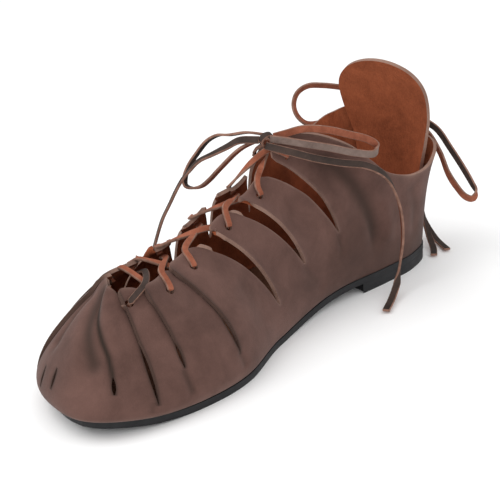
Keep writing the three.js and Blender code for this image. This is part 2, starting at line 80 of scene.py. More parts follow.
def through(stops: np.ndarray, closed: bool) -> np.ndarray:
    """Cubic pieces of a centripetal Catmull-Rom curve.

    Args:
        stops: The places that the curve runs through, one in a row.
        closed: Whether the last stop leads back to the first.

    Returns:
        For each piece its four coefficients, lowest power first.
    """
    count = len(stops)
    spans = count if closed else count - 1
    pieces = []
    for i in range(spans):
        b, c = stops[i], stops[(i + 1) % count]
        a = stops[i - 1] if closed or i > 0 else 2 * b - c
        d = stops[(i + 2) % count] if closed or i + 2 < count else 2 * c - b
        before, span, after = (max(np.linalg.norm(q - p), 1e-9) ** 0.5 for p, q in ((a, b), (b, c), (c, d)))
        leave = (b - a) / before - (c - a) / (before + span) + (c - b) / span
        reach = (c - b) / span - (d - b) / (span + after) + (d - c) / after
        leave, reach = leave * span, reach * span
        pieces.append((b, leave, 3 * (c - b) - 2 * leave - reach, 2 * (b - c) + leave + reach))
    return np.array(pieces)


def along_pieces(pieces: np.ndarray, place: np.ndarray) -> np.ndarray:
    """Points of a curve made by through(), at shares of its parameter.

    Args:
        pieces: The curve, as through() gives it.
        place: Places on it, from 0 to 1.

    Returns:
        The points.
    """
    count = len(pieces)
    scaled = np.clip(place, 0.0, 1.0) * count
    index = np.minimum(scaled.astype(int), count - 1)
    w = (scaled - index)[..., None]
    c = pieces[index]
    return c[..., 0, :] + w * (c[..., 1, :] + w * (c[..., 2, :] + w * c[..., 3, :]))


@dataclass(frozen=True)
class LastSizes:
    """The named sizes of the last, sole and upper, in millimetres."""

    sole_length: float = 280.0
    ball_width: float = 93.0
    heel_width: float = 62.0
    instep_height: float = 72.0
    ankle_height: float = 103.0
    outsole: float = 3.6
    heel_lift: float = 6.0
    toe_spring: float = 6.0
    sole_edge: float = 0.7
    insole: float = 2.0
    wall: float = 2.2
    feather_inset: float = 0.8
    gap: float = 0.3
    arch_rear: float = 0.29
    arch_front: float = 0.55
    spring_start: float = 0.80
    heel_breast: float = 0.275
    heel_hollow: float = 0.018


# The sole's outline: its place along, as a share of the length, and sideways, as a share of the
# heel's width plus one of the ball's.
OUTLINE = (
    (0.00, 0.00, 0), (0.03, 0.379, 0), (0.11, 0.506, 0), (0.20, 0.495, 0), (0.40, 0.209, 0.139),
    (0.56, 0, 0.347), (0.70, 0, 0.483), (0.80, 0, 0.483), (0.93, 0, 0.381), (1.00, 0, 0.190),
    (0.93, 0, -0.298), (0.78, 0, -0.481), (0.66, 0, -0.517), (0.50, 0, -0.455), (0.33, -0.283, -0.189),
    (0.18, -0.521, 0), (0.10, -0.481, 0), (0.03, -0.365, 0),
)

# The upper's rows: side, where the row leaves the sole, then where it reaches the top edge, as
# shares of the heel's and the ball's width across, of the length along, and of the instep's and
# the ankle's height up, then the angle by which the wall leans in, how full it is, and its belly.
ROWS = (
    (1, 0.000, 0, 0, -0.011, 0, 0.757, 20, 2.2, 0.011),
    (1, 0.030, 0.468, 0, 0.009, 0, 0.689, 20, 2.2, 0.011),
    (1, 0.107, 0.573, 0, 0.075, 0, 0.592, 20, 2.2, 0.011),
    (1, 0.165, 0.565, 0, 0.150, 0, 0.602, 22, 2.2, 0.011),
    (1, 0.205, 0.556, 0, 0.221, 0, 0.680, 27, 2.2, 0.013),
    (1, 0.232, 0.540, 0, 0.271, 0, 0.786, 35, 2.1, 0.016),
    (1, 0.256, 0.468, 0, 0.321, 0, 0.893, 45, 2.0, 0.022),
    (1, 0.274, 0.306, 0, 0.371, 0, 0.966, 58, 2.0, 0.027),
    (1, 0.290, 0.145, 0, 0.414, 0, 0.981, 68, 1.9, 0.032),
    (1, 0.319, 0, 0.067, 0.471, 0, 0.840, 78, 1.8, 0.038),
    (1, 0.431, 0, 0.075, 0.575, 1.049, 0, 82, 1.7, 0.043),
    (1, 0.545, 0, 0.086, 0.671, 0.903, 0, 84, 1.7, 0.043),
    (1, 0.717, 0, 0.097, 0.752, 0.799, 0, 80, 1.7, 0.038),
    (1, 0.839, 0, 0.140, 0.829, 0.778, 0, 75, 1.5, 0.048),
    (1, 0.902, 0, 0.054, 0.861, 0.792, 0, 65, 1.4, 0.059),
    (1, 0.966, 0, 0.011, 0.864, 0.799, 0, 60, 1.4, 0.075),
    (-1, 0.992, 0, -0.032, 0.855, 0.799, 0, 60, 1.4, 0.086),
    (-1, 0.974, 0, -0.065, 0.843, 0.799, 0, 60, 1.4, 0.097),
    (-1, 0.934, 0, -0.091, 0.829, 0.792, 0, 60, 1.4, 0.097),
    (-1, 0.860, 0, -0.108, 0.811, 0.785, 0, 65, 1.4, 0.091),
    (-1, 0.680, 0, -0.091, 0.729, 0.819, 0, 75, 1.5, 0.075),
    (-1, 0.540, 0, -0.086, 0.664, 0.875, 0, 80, 1.6, 0.065),
    (-1, 0.450, 0, -0.075, 0.568, 1.028, 0, 80, 1.7, 0.059),
    (-1, 0.345, 0, -0.067, 0.464, 0, 0.816, 75, 1.8, 0.054),
    (-1, 0.307, -0.145, 0, 0.400, 0, 0.932, 65, 2.0, 0.043),
    (-1, 0.270, -0.371, 0, 0.332, 0, 0.874, 50, 2.0, 0.032),
    (-1, 0.225, -0.548, 0, 0.207, 0, 0.786, 25, 2.2, 0.016),
    (-1, 0.107, -0.565, 0, 0.075, 0, 0.825, 20, 2.2, 0.011),
    (-1, 0.030, -0.468, 0, 0.011, 0, 0.835, 20, 2.2, 0.011),
)


@dataclass
class Last:
    """The form that the sole and upper share: the outline, the sole's side view and the wall."""

    sizes: LastSizes = field(default_factory=LastSizes)
    origin: Vector = field(default_factory=lambda: Vector((0, 0, 0)))
    divisions: int = 800

    def __post_init__(self) -> None:
        """Works out the outline's curve and the rows' places on it."""
        s = self.sizes
        stops = np.array([(h * s.heel_width + b * s.ball_width, a * s.sole_length) for a, h, b in OUTLINE])
        self.pieces = through(stops, True)
        self.marks = np.linspace(0, 1, self.divisions + 1)
        places = along_pieces(self.pieces, self.marks)
        steps = np.linalg.norm(np.diff(places, axis=0), axis=1)
        self.reach = np.concatenate([[0], np.cumsum(steps)])
        self.length = float(self.reach[-1])
        trial = np.arange(400) / 400
        self.toe = float(trial[np.argmax(self.outline(trial)[:, 1])])
        self.seams = np.array([0.0] + [self.share_at(row[0], row[1] * s.sole_length) for row in ROWS[1:]])
        rows = np.array(ROWS, float)
        self.tables = {
            "across": rows[:, 2] * s.heel_width + rows[:, 3] * s.ball_width,
            "along": rows[:, 4] * s.sole_length,
            "up": rows[:, 5] * s.instep_height + rows[:, 6] * s.ankle_height,
            "turn": rows[:, 7],
            "full": rows[:, 8],
            "belly": rows[:, 9] * s.ball_width,
        }

    def to_frame(self, points: np.ndarray) -> np.ndarray:
        """Places on the last, in millimetres, as points of the frame in metres.

        Args:
            points: Across, along and up, in millimetres.

        Returns:
            The same points in the frame, in metres.
        """
        points = np.asarray(points, float)
        flipped = points * np.array((1.0, -1.0, 1.0)) * MM
        return flipped + np.array(self.origin)

    def outline(self, share: np.ndarray) -> np.ndarray:
        """Across and along of the outline, at shares of its length."""
        place = np.interp(np.asarray(share) % 1.0 * self.length, self.reach, self.marks)
        return along_pieces(self.pieces, place)

    def outward(self, share: np.ndarray) -> np.ndarray:
        """The outline's sideways normal, away from the foot.

        Args:
            share: Shares of the outline's length.

        Returns:
            Unit vectors, across and along.
        """
        step = 2e-4
        tangent = unit(self.outline(share + step) - self.outline(share - step))
        normal = np.stack([tangent[..., 1], -tangent[..., 0]], axis=-1)
        middle = np.array((0.0, self.sizes.sole_length / 2))
        inward = np.sum(normal * (self.outline(share) - middle), axis=-1, keepdims=True) < 0
        return np.where(inward, -normal, normal)

    def share_at(self, side: int, along: float) -> float:
        """The share of the outline at a distance along the foot, on its inner (1) or outer (-1) side.

        Args:
            side: 1 for the inner side, -1 for the outer.
            along: Millimetres from the heel's back.

        Returns:
            The share of the outline's length.
        """
        low, high = (0.0, self.toe) if side > 0 else (1.0, self.toe)
        for _ in range(40):
            middle = (low + high) / 2
            if self.outline(np.array(middle))[1] < along:
                low = middle
            else:
                high = middle
        return (low + high) / 2

    def sole_bottom(self, along: np.ndarray) -> np.ndarray:
        """Height of the outsole's underside: heel lift, arch, flat ball and toe spring.

        Args:
            along: Millimetres from the heel's back.

        Returns:
            The heights, in millimetres.
        """
        s = self.sizes
        share = np.asarray(along, float) / s.sole_length
        arch = 1 - smooth(s.arch_rear, s.arch_front, share)
        spring = np.maximum(0, (share - s.spring_start) / (1 - s.spring_start)) ** 2
        return s.heel_lift * arch + s.toe_spring * spring

    def sole_top(self, along: np.ndarray) -> np.ndarray:
        """Height of the outsole's top."""
        return self.sole_bottom(along) + self.sizes.outsole

    def half_widths(self, along: np.ndarray) -> tuple[np.ndarray, np.ndarray]:
        """Across at the outer and at the inner edge of the outline, at distances along the foot.

        Args:
            along: Millimetres from the heel's back.

        Returns:
            Across at the outer edge, and at the inner edge.
        """
        inner = self.outline(np.linspace(0.0, self.toe, 700))
        outer = self.outline(np.linspace(1.0, self.toe, 700) - 1e-9)
        return np.interp(along, outer[:, 1], outer[:, 0]), np.interp(along, inner[:, 1], inner[:, 0])

    def around(self, name: str, share: np.ndarray) -> np.ndarray:
        """A column of ROWS as a smooth curve round the foot.

        Args:
            name: The column's name.
            share: Shares of the way round the foot.

        Returns:
            The column's values there.
        """
        values, seams = self.tables[name], self.seams
        span = (np.roll(seams, -1) - seams) % 1.0
        before = np.roll(span, 1)
        rise = (np.roll(values, -1) - values) / span
        fall = np.roll(rise, 1)
        slope = (rise * before + fall * span) / (before + span)
        wrapped = np.asarray(share, float) % 1.0
        i = np.searchsorted(seams, wrapped, side="right") - 1
        j = (i + 1) % len(seams)
        t = (wrapped - seams[i]) / span[i]
        return (values[i] * (1 + 2 * t) * (1 - t) ** 2 + values[j] * t * t * (3 - 2 * t)
                + span[i] * t * (1 - t) * (slope[i] * (1 - t) - slope[j] * t))

    def wall(self, share: np.ndarray, up: np.ndarray) -> np.ndarray:
        """The wall's outer face, at shares of the way round and of the way up.

        Args:
            share: Shares of the way round the foot.
            up: Shares of the way up the wall.

        Returns:
            The points, in millimetres.
        """
        s = self.sizes
        share, up = np.broadcast_arrays(np.asarray(share, float), np.asarray(up, float))
        outward = self.outward(share)
        foot = self.outline(share) - outward * s.feather_inset
        base = self.sole_top(foot[..., 1]) + s.gap
        whole = np.radians(self.around("turn", share))
        rise = np.clip(up, 0, 1)
        angle = whole * rise
        power = 2 / self.around("full", share)
        level = (1 - np.maximum(np.cos(angle), 0) ** power) / (1 - np.maximum(np.cos(whole), 0) ** power)
        height = (np.sin(angle) / np.sin(whole)) ** power
        swell = self.around("belly", share) * np.sin(np.pi * rise ** 0.6)
        x = foot[..., 0] + (self.around("across", share) - foot[..., 0]) * level + outward[..., 0] * swell
        d = foot[..., 1] + (self.around("along", share) - foot[..., 1]) * level + outward[..., 1] * swell
        z = base + (self.around("up", share) - base) * height
        return np.stack([x, d, z], axis=-1)

    def wall_normal(self, share: np.ndarray, up: np.ndarray) -> np.ndarray:
        """The wall's outward normal.

        Args:
            share: Shares of the way round the foot.
            up: Shares of the way up the wall.

        Returns:
            Unit vectors, away from the foot.
        """
        share, up = np.broadcast_arrays(np.asarray(share, float), np.asarray(up, float))
        low = np.clip(up - 0.02, 0, 0.96)
        climb = self.wall(share, low + 0.04) - self.wall(share, low)
        ring = self.wall(share + 0.002, up) - self.wall(share - 0.002, up)
        return unit(np.cross(ring, climb))

    def metric(self, share: np.ndarray, up: np.ndarray) -> np.ndarray:
        """Millimetres of wall to one whole turn round the foot, at a place on it."""
        step = 0.001
        return np.linalg.norm(self.wall(share + step, up) - self.wall(share - step, up), axis=-1) / (2 * step)


class Nodes:
    """A short way to place and join shader nodes in one tree."""

    def __init__(self, tree: bpy.types.NodeTree) -> None:
        """Takes the tree that the nodes go into."""
        self.tree = tree

    def add(self, kind: str, values: dict[str, object] | None = None, **settings: object) -> bpy.types.Node:
        """Adds a node.

        Args:
            kind: The node's type name.
            values: Sockets by name, each with a value, or with a socket to link from.
            **settings: The node's own properties.

        Returns:
            The new node.
        """
        node = self.tree.nodes.new(kind)
        for name, value in settings.items():
            setattr(node, name, value)
        for name, value in (values or {}).items():
            self.feed(node.inputs[name], value)
        return node

    def feed(self, socket: bpy.types.NodeSocket, value: object) -> None:
        """Gives an input its value, or links it.

        Args:
            socket: The input.
            value: Its value, or the socket that it is linked from.
        """
        if isinstance(value, bpy.types.NodeSocket):
            self.tree.links.new(value, socket)
        else:
            socket.default_value = value

    def math(self, operation: str, a: object, b: object = 0.0) -> bpy.types.NodeSocket:
        """One arithmetic step on two values or sockets.

        Args:
            operation: Blender's name for the step.
            a: First value or socket.
            b: Second value or socket.

        Returns:
            The result's socket.
        """
        node = self.add("ShaderNodeMath", operation=operation)
        for socket, value in zip(node.inputs, (a, b)):
            self.feed(socket, value)
        return node.outputs[0]

    def mix(self, amount: object, a: object, b: object, blend: str = "MIX") -> bpy.types.NodeSocket:
        """Mixes two colours by an amount.

        Args:
            amount: How much of the second colour.
            a: First colour.
            b: Second colour.
            blend: Blender's name for the way they mix.

        Returns:
            The mixed colour's socket.
        """
        node = self.add("ShaderNodeMix", data_type="RGBA", blend_type=blend)
        for index, value in ((0, amount), (6, a), (7, b)):
            self.feed(node.inputs[index], value)
        return node.outputs[2]

    def ramp(self, value: bpy.types.NodeSocket, low: float, high: float) -> bpy.types.NodeSocket:
        """A value stretched from low to high onto 0 to 1, held at both ends."""
        return self.add("ShaderNodeMapRange", {"Value": value, "From Min": low, "From Max": high}).outputs[0]


def nap_group() -> bpy.types.NodeTree:
    """The group for brushed leather: clouds of shade, specks of nap, and their height."""
    name = "leather_nap"
    if name in bpy.data.node_groups:
        return bpy.data.node_groups[name]
    tree = bpy.data.node_groups.new(name, "ShaderNodeTree")
    for label, value in (("Cloud Scale", 40.0), ("Nap Scale", 900.0), ("Stretch", 1.0)):
        socket = tree.interface.new_socket(label, in_out="INPUT", socket_type="NodeSocketFloat")
        socket.default_value = value
    for label in ("Cloud", "Nap", "Height"):
        tree.interface.new_socket(label, in_out="OUTPUT", socket_type="NodeSocketFloat")
    nodes = Nodes(tree)
    given = nodes.add("NodeGroupInput")
    place = nodes.add("ShaderNodeTexCoord").outputs["Object"]
    scale = nodes.add("ShaderNodeCombineXYZ", {"X": 1.0, "Y": 1.0, "Z": given.outputs["Stretch"]})
    drawn = nodes.add("ShaderNodeVectorMath", operation="MULTIPLY")
    tree.links.new(place, drawn.inputs[0])
    tree.links.new(scale.outputs[0], drawn.inputs[1])
    cloud = nodes.add("ShaderNodeTexNoise", {
        "Vector": place, "Scale": given.outputs["Cloud Scale"], "Detail": 5.0, "Roughness": 0.62,
        "Distortion": 0.3}).outputs["Fac"]
    nap = nodes.add("ShaderNodeTexNoise", {
        "Vector": drawn.outputs[0], "Scale": given.outputs["Nap Scale"], "Detail": 6.0,
        "Roughness": 0.7}).outputs["Fac"]
    grain = nodes.add("ShaderNodeTexVoronoi", {
        "Vector": place, "Scale": given.outputs["Nap Scale"]}, feature="SMOOTH_F1").outputs["Distance"]
    height = nodes.math("ADD", nodes.math("MULTIPLY", nap, 0.7), nodes.math("MULTIPLY", grain, 0.3))
    result = nodes.add("NodeGroupOutput")
    for label, socket in (("Cloud", cloud), ("Nap", nap), ("Height", height)):
        tree.links.new(socket, result.inputs[label])
    return tree


FINISHED: dict[str, bpy.types.Material] = {}


@dataclass(frozen=True)
class Finish:
    """A leather or rubber finish: its colours, how they vary, and its surface."""

    name: str
    dark: tuple[float, float, float]
    light: tuple[float, float, float]
    roughness: float = 0.85
    specular: float = 0.3
    cloud_scale: float = 40.0
    nap_scale: float = 900.0
    stretch: float = 1.0
    nap_colour: float = 0.25
    bump: float = 0.3
    bump_depth: float = 0.0004
    sheen: float = 0.0
    # Colour of the painted shade, mixed in where the vertex value of painted shade is high.
    trough: tuple[float, float, float] | None = None
    rubbed: tuple[float, float, float] | None = None

    def material(self) -> bpy.types.Material:
        """The finish as a material, made once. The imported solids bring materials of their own."""
        if self.name in FINISHED:
            return FINISHED[self.name]
        made = bpy.data.materials.new(self.name)
        FINISHED[self.name] = made
        made.use_nodes = True
        tree = made.node_tree
        tree.nodes.clear()
        nodes = Nodes(tree)
        nap = nodes.add("ShaderNodeGroup", node_tree=nap_group())
        nap.inputs["Cloud Scale"].default_value = self.cloud_scale
        nap.inputs["Nap Scale"].default_value = self.nap_scale
        nap.inputs["Stretch"].default_value = self.stretch
        cloud = nodes.ramp(nap.outputs["Cloud"], 0.3, 0.7)
        speck = nodes.ramp(nap.outputs["Nap"], 0.25, 0.75)
        mixed = nodes.math("ADD", nodes.math("MULTIPLY", cloud, 1 - self.nap_colour),
                           nodes.math("MULTIPLY", speck, self.nap_colour))
        colour = nodes.mix(mixed, (*self.dark, 1), (*self.light, 1))
        # Painted shade: the colour darkens towards the shade colour in creases, beside the slits and low on
        # the heel.
        if self.trough:
            depth = nodes.add("ShaderNodeAttribute", attribute_name="trough").outputs["Fac"]
            colour = nodes.mix(depth, colour, (*self.trough, 1))
        if self.rubbed:
            edge = nodes.add("ShaderNodeAttribute", attribute_name="rubbed").outputs["Fac"]
            amount = nodes.math("MULTIPLY", edge, nodes.ramp(nap.outputs["Cloud"], 0.2, 0.65))
            colour = nodes.mix(amount, colour, (*self.rubbed, 1))
        rough = nodes.math("ADD", nodes.math("MULTIPLY", speck, 0.12), self.roughness - 0.06)
        bump = nodes.add("ShaderNodeBump", {
            "Strength": self.bump, "Distance": self.bump_depth, "Height": nap.outputs["Height"]})
        shader = nodes.add("ShaderNodeBsdfPrincipled", {
            "Base Color": colour, "Roughness": rough, "Normal": bump.outputs[0]})
        shader.inputs["Specular IOR Level"].default_value = self.specular
        shader.inputs["Sheen Weight"].default_value = self.sheen
        shader.inputs["Sheen Roughness"].default_value = 0.45
        output = nodes.add("ShaderNodeOutputMaterial")
        tree.links.new(shader.outputs[0], output.inputs["Surface"])
        return made


# Where a finish below has a shade colour, that colour is painted shade for creases, slit sides and the low
# heel.
NUBUCK = Finish("brushed_nubuck", dark=(0.066, 0.033, 0.026), light=(0.142, 0.074, 0.060), roughness=0.88,
                sheen=0.07, specular=0.18, nap_scale=1300, bump=0.4, trough=(0.022, 0.014, 0.010),
                rubbed=(0.26, 0.165, 0.135))
FLESH = Finish("flesh_side", dark=(0.150, 0.038, 0.016), light=(0.400, 0.112, 0.048), roughness=0.93,
               specular=0.12, cloud_scale=55, nap_scale=1100, stretch=0.35, nap_colour=0.4, bump=0.6,
               bump_depth=0.0006, trough=(0.055, 0.016, 0.008))
RAW_EDGE = Finish("raw_edge", dark=(0.130, 0.070, 0.052), light=(0.330, 0.205, 0.160), roughness=0.9,
                  specular=0.2, nap_scale=1600, nap_colour=0.5, trough=(0.020, 0.010, 0.008))
RUBBER = Finish("black_rubber", dark=(0.007, 0.007, 0.008), light=(0.019, 0.019, 0.021), roughness=0.62,
                specular=0.3, cloud_scale=90, nap_scale=2200, bump=0.2, bump_depth=0.0003)
THONG_GRAIN = Finish("thong_grain", dark=(0.022, 0.017, 0.015), light=(0.068, 0.044, 0.036), roughness=0.8,
                     specular=0.12, cloud_scale=110, nap_scale=1500)
THONG_FLESH = Finish("thong_flesh", dark=(0.150, 0.045, 0.024), light=(0.350, 0.120, 0.070), roughness=0.92,
                     specular=0.12, cloud_scale=180, nap_scale=1500, nap_colour=0.4, bump=0.5)
THONG_EDGE = Finish("thong_edge", dark=(0.110, 0.055, 0.040), light=(0.340, 0.190, 0.140), roughness=0.9,
                    specular=0.15, cloud_scale=200, nap_scale=1800)
# A lighter copy of the thong grain: painted sheen for the front medial loop.
THONG_SHEEN = Finish("thong_sheen", dark=(0.090, 0.060, 0.050), light=(0.230, 0.165, 0.140), roughness=0.8,
                    specular=0.25, cloud_scale=110, nap_scale=1500)
INSOLE_FINISH = Finish("insole_leather", dark=(0.060, 0.026, 0.014), light=(0.170, 0.070, 0.035),
                       roughness=0.85, cloud_scale=30, nap_scale=900)


def grid_mesh(columns: int, rows: int) -> tuple[bmesh.types.BMesh, np.ndarray, np.ndarray]:
    """A flat grid to be shaped.

    Args:
        columns: Corners along its first way.
        rows: Corners along its second.

    Returns:
        The bmesh, and for each vertex the whole number of its column and of its row.
    """
    mesh = bmesh.new()
    bmesh.ops.create_grid(mesh, x_segments=columns - 1, y_segments=rows - 1, size=0.5)
    mesh.verts.ensure_lookup_table()
    flat = np.array([v.co for v in mesh.verts])
    column = np.rint((flat[:, 0] + 0.5) * (columns - 1)).astype(int)
    row = np.rint((flat[:, 1] + 0.5) * (rows - 1)).astype(int)
    return mesh, column, row


def place_vertices(mesh: bmesh.types.BMesh, points: np.ndarray) -> None:
    """Moves each vertex to its point.

    Args:
        mesh: The bmesh.
        points: One point for each vertex, in its order.
    """
    for vertex, point in zip(mesh.verts, points):
        vertex.co = point


@dataclass
class Piece:
    """What every piece of the sandal has: a name, the solids it stands for, and its slot."""

    name: str
    stands_for: tuple[str, ...]
    slot: str

    def finish(self, mesh: bmesh.types.BMesh, finishes: tuple[Finish, ...],
               wall: float = 0.0) -> bpy.types.Object:
        """Turns a bmesh into a finished object that rides on the part.

        Args:
            mesh: The shaped bmesh, which is freed.
            finishes: Its finishes. With a wall they are outside, inside and rim.
            wall: Thickness that the sheet is given, in metres, or 0.

        Returns:
            The object.
        """
        data = bpy.data.meshes.new(self.name)
        mesh.to_mesh(data)
        mesh.free()
        for item in finishes:
            data.materials.append(item.material())
        made = bpy.data.objects.new(self.name, data)
        bpy.context.scene.collection.objects.link(made)
        if wall:
            self._thicken(made, wall)
        self._sharpen(made.data)
        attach(made, "root")
        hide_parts(*self.stands_for)
        LOG.info("%s: %d faces", self.name, len(made.data.polygons))
        return made

    @staticmethod
    def _thicken(made: bpy.types.Object, wall: float) -> None:
        """Gives a sheet its wall, inwards, with its own inside and rim finishes.

        Args:
            made: The object whose sheet is thickened.
            wall: The wall's thickness, in metres.
        """
        solid = made.modifiers.new("wall", "SOLIDIFY")
        solid.thickness = wall
        solid.offset = -1
        solid.material_offset = 1
        solid.material_offset_rim = 2
        evaluated = made.evaluated_get(bpy.context.evaluated_depsgraph_get())
        solidified = bpy.data.meshes.new_from_object(evaluated)
        made.modifiers.clear()
        made.data = solidified

    @staticmethod
    def _sharpen(data: bpy.types.Mesh) -> None:
        """Smooths all faces, with sharp edges where two finishes meet or the surface turns hard.

        Args:
            data: The finished mesh.
        """
        mesh = bmesh.new()
        mesh.from_mesh(data)
        for face in mesh.faces:
            face.smooth = True
        for edge in mesh.edges:
            if len(edge.link_faces) == 2:
                one, two = edge.link_faces
                turned = edge.calc_face_angle(0.0) > math.radians(50)
                edge.smooth = one.material_index == two.material_index and not turned
        mesh.to_mesh(data)
        mesh.free()


class CutKind(Enum):
    """What a cut in the upper is."""

    OPENING = "a crescent that is open up to the throat"
    PLEAT = "a slit whose sides overlap above it, up to the throat"
    SLIT = "a slit that closes again above"
    NOTCH = "the parting at the heel's back"


@dataclass(frozen=True)
class Cut:
    """A cut on a row of the upper: where it starts and closes, its width, the side on top, its overlap."""

    row: int
    start: float
    close: float
    width: float
    kind: CutKind
    over: int = -1
    overlap: float = 1.3


OPENING_WIDTH = 13.0
SLIT_WIDTH = 2.0
CORNER_RADII = {CutKind.OPENING: 6.0, CutKind.NOTCH: 6.0, CutKind.PLEAT: 4.5}
CUTS = (
    Cut(0, 0.68, 1.0, 9.0, CutKind.NOTCH),
    Cut(9, 0.35, 1.0, OPENING_WIDTH * 0.75, CutKind.OPENING),
    Cut(10, 0.33, 1.0, OPENING_WIDTH, CutKind.OPENING),
    Cut(11, 0.26, 1.0, OPENING_WIDTH, CutKind.OPENING),
    Cut(12, 0.23, 0.50, SLIT_WIDTH, CutKind.PLEAT),
    Cut(13, 0.36, 0.54, SLIT_WIDTH, CutKind.PLEAT, -1, 0.2),
    Cut(14, 0.19, 0.62, SLIT_WIDTH, CutKind.PLEAT, -1, -0.5),
    Cut(15, 0.33, 0.46, SLIT_WIDTH, CutKind.SLIT),
    Cut(16, 0.28, 0.45, SLIT_WIDTH, CutKind.SLIT),
    Cut(17, 0.21, 0.40, SLIT_WIDTH, CutKind.SLIT),
    Cut(18, 0.21, 0.40, SLIT_WIDTH, CutKind.PLEAT, 1),
    Cut(19, 0.16, 0.35, SLIT_WIDTH, CutKind.PLEAT, 1),
    Cut(20, 0.42, 1.0, OPENING_WIDTH * 0.8, CutKind.OPENING, 1),
    Cut(21, 0.40, 1.0, OPENING_WIDTH, CutKind.OPENING, 1),
    Cut(22, 0.40, 1.0, OPENING_WIDTH, CutKind.OPENING, 1),
    Cut(23, 0.40, 1.0, OPENING_WIDTH * 0.75, CutKind.OPENING, 1),
)


@dataclass(frozen=True)
class Crease:
    """A soft hollow (negative depth) or ridge: its stops as (share round, share up), in millimetres, and how
    much painted shade darkens its colour.
    """

    stops: tuple[tuple[float, float], ...]
    width: float
    depth: float
    shade: float = 0.0


# Creases: stops, width and depth in millimetres, and shade, which is painted shade darkening the colour along
# each one.
CREASES = (
    Crease(((0.160, 0.86), (0.152, 0.72), (0.145, 0.60), (0.137, 0.47), (0.132, 0.31),
        (0.134, 0.06)), 9.0, -2.6, 0.68),
    Crease(((0.172, 0.74), (0.162, 0.55), (0.152, 0.34)), 9.0, 1.5),
    Crease(((0.122, 0.66), (0.115, 0.42), (0.117, 0.20)), 7.0, 1.2),
    Crease(((0.494, 1.06), (0.487, 0.92), (0.478, 0.80), (0.468, 0.68), (0.461, 0.58), (0.458, 0.44),
        (0.458, 0.36)),
           2.9, -1.6, 1.0),
    Crease(((0.505, 1.06), (0.497, 0.88), (0.486, 0.72), (0.474, 0.56), (0.468, 0.46)), 7.0, -2.2, 0.7),
    Crease(((0.478, 1.06), (0.470, 0.90), (0.456, 0.74), (0.448, 0.60)), 5.0, 1.6),
    Crease(((0.4000, 0.40), (0.3985, 0.27), (0.396, 0.12)), 3.4, -1.0, 0.55),
    Crease(((0.346, 0.26), (0.341, 0.10)), 3.4, -0.8, 0.35),
    Crease(((0.428, 0.24), (0.433, 0.10)), 3.0, -0.6, 0.3),
    Crease(((0.168, 0.36), (0.172, 0.22)), 3.4, -0.8, 0.4),
    Crease(((0.095, 0.93), (0.081, 0.55), (0.077, 0.12)), 7.0, -0.9, 0.25),
    Crease(((0.221, 0.36), (0.212, 0.22), (0.200, 0.10)), 6.0, -0.7, 0.2),
    Crease(((0.300, 0.60), (0.296, 0.40), (0.300, 0.20)), 12.0, -0.9, 0.15),
    Crease(((0.540, 0.95), (0.540, 0.70), (0.530, 0.45)), 4.6, -1.6, 0.4),
    Crease(((0.632, 0.92), (0.640, 0.60), (0.648, 0.35)), 6.0, -1.0, 0.2),
    Crease(((0.860, 0.80), (0.868, 0.50), (0.874, 0.15)), 7.0, -1.6, 0.4),
    Crease(((0.846, 0.70), (0.852, 0.45), (0.856, 0.2)), 8.0, 1.0),
)

# Lace holes: the rows on either side of each, and how far from the first to the second.
HOLES = (
    (13, 14, 0.75), (12, 13, 0.50), (11, 12, 0.68), (10, 11, 0.52), (9, 10, 0.40), (8, 9, 0.50),
    (20, 19, 0.75), (20, 19, 0.30), (21, 20, 0.50), (22, 21, 0.50), (23, 22, 0.45), (24, 23, 0.50),
)
HOLE_INSET = 9.0
HOLE_RADIUS = 2.1


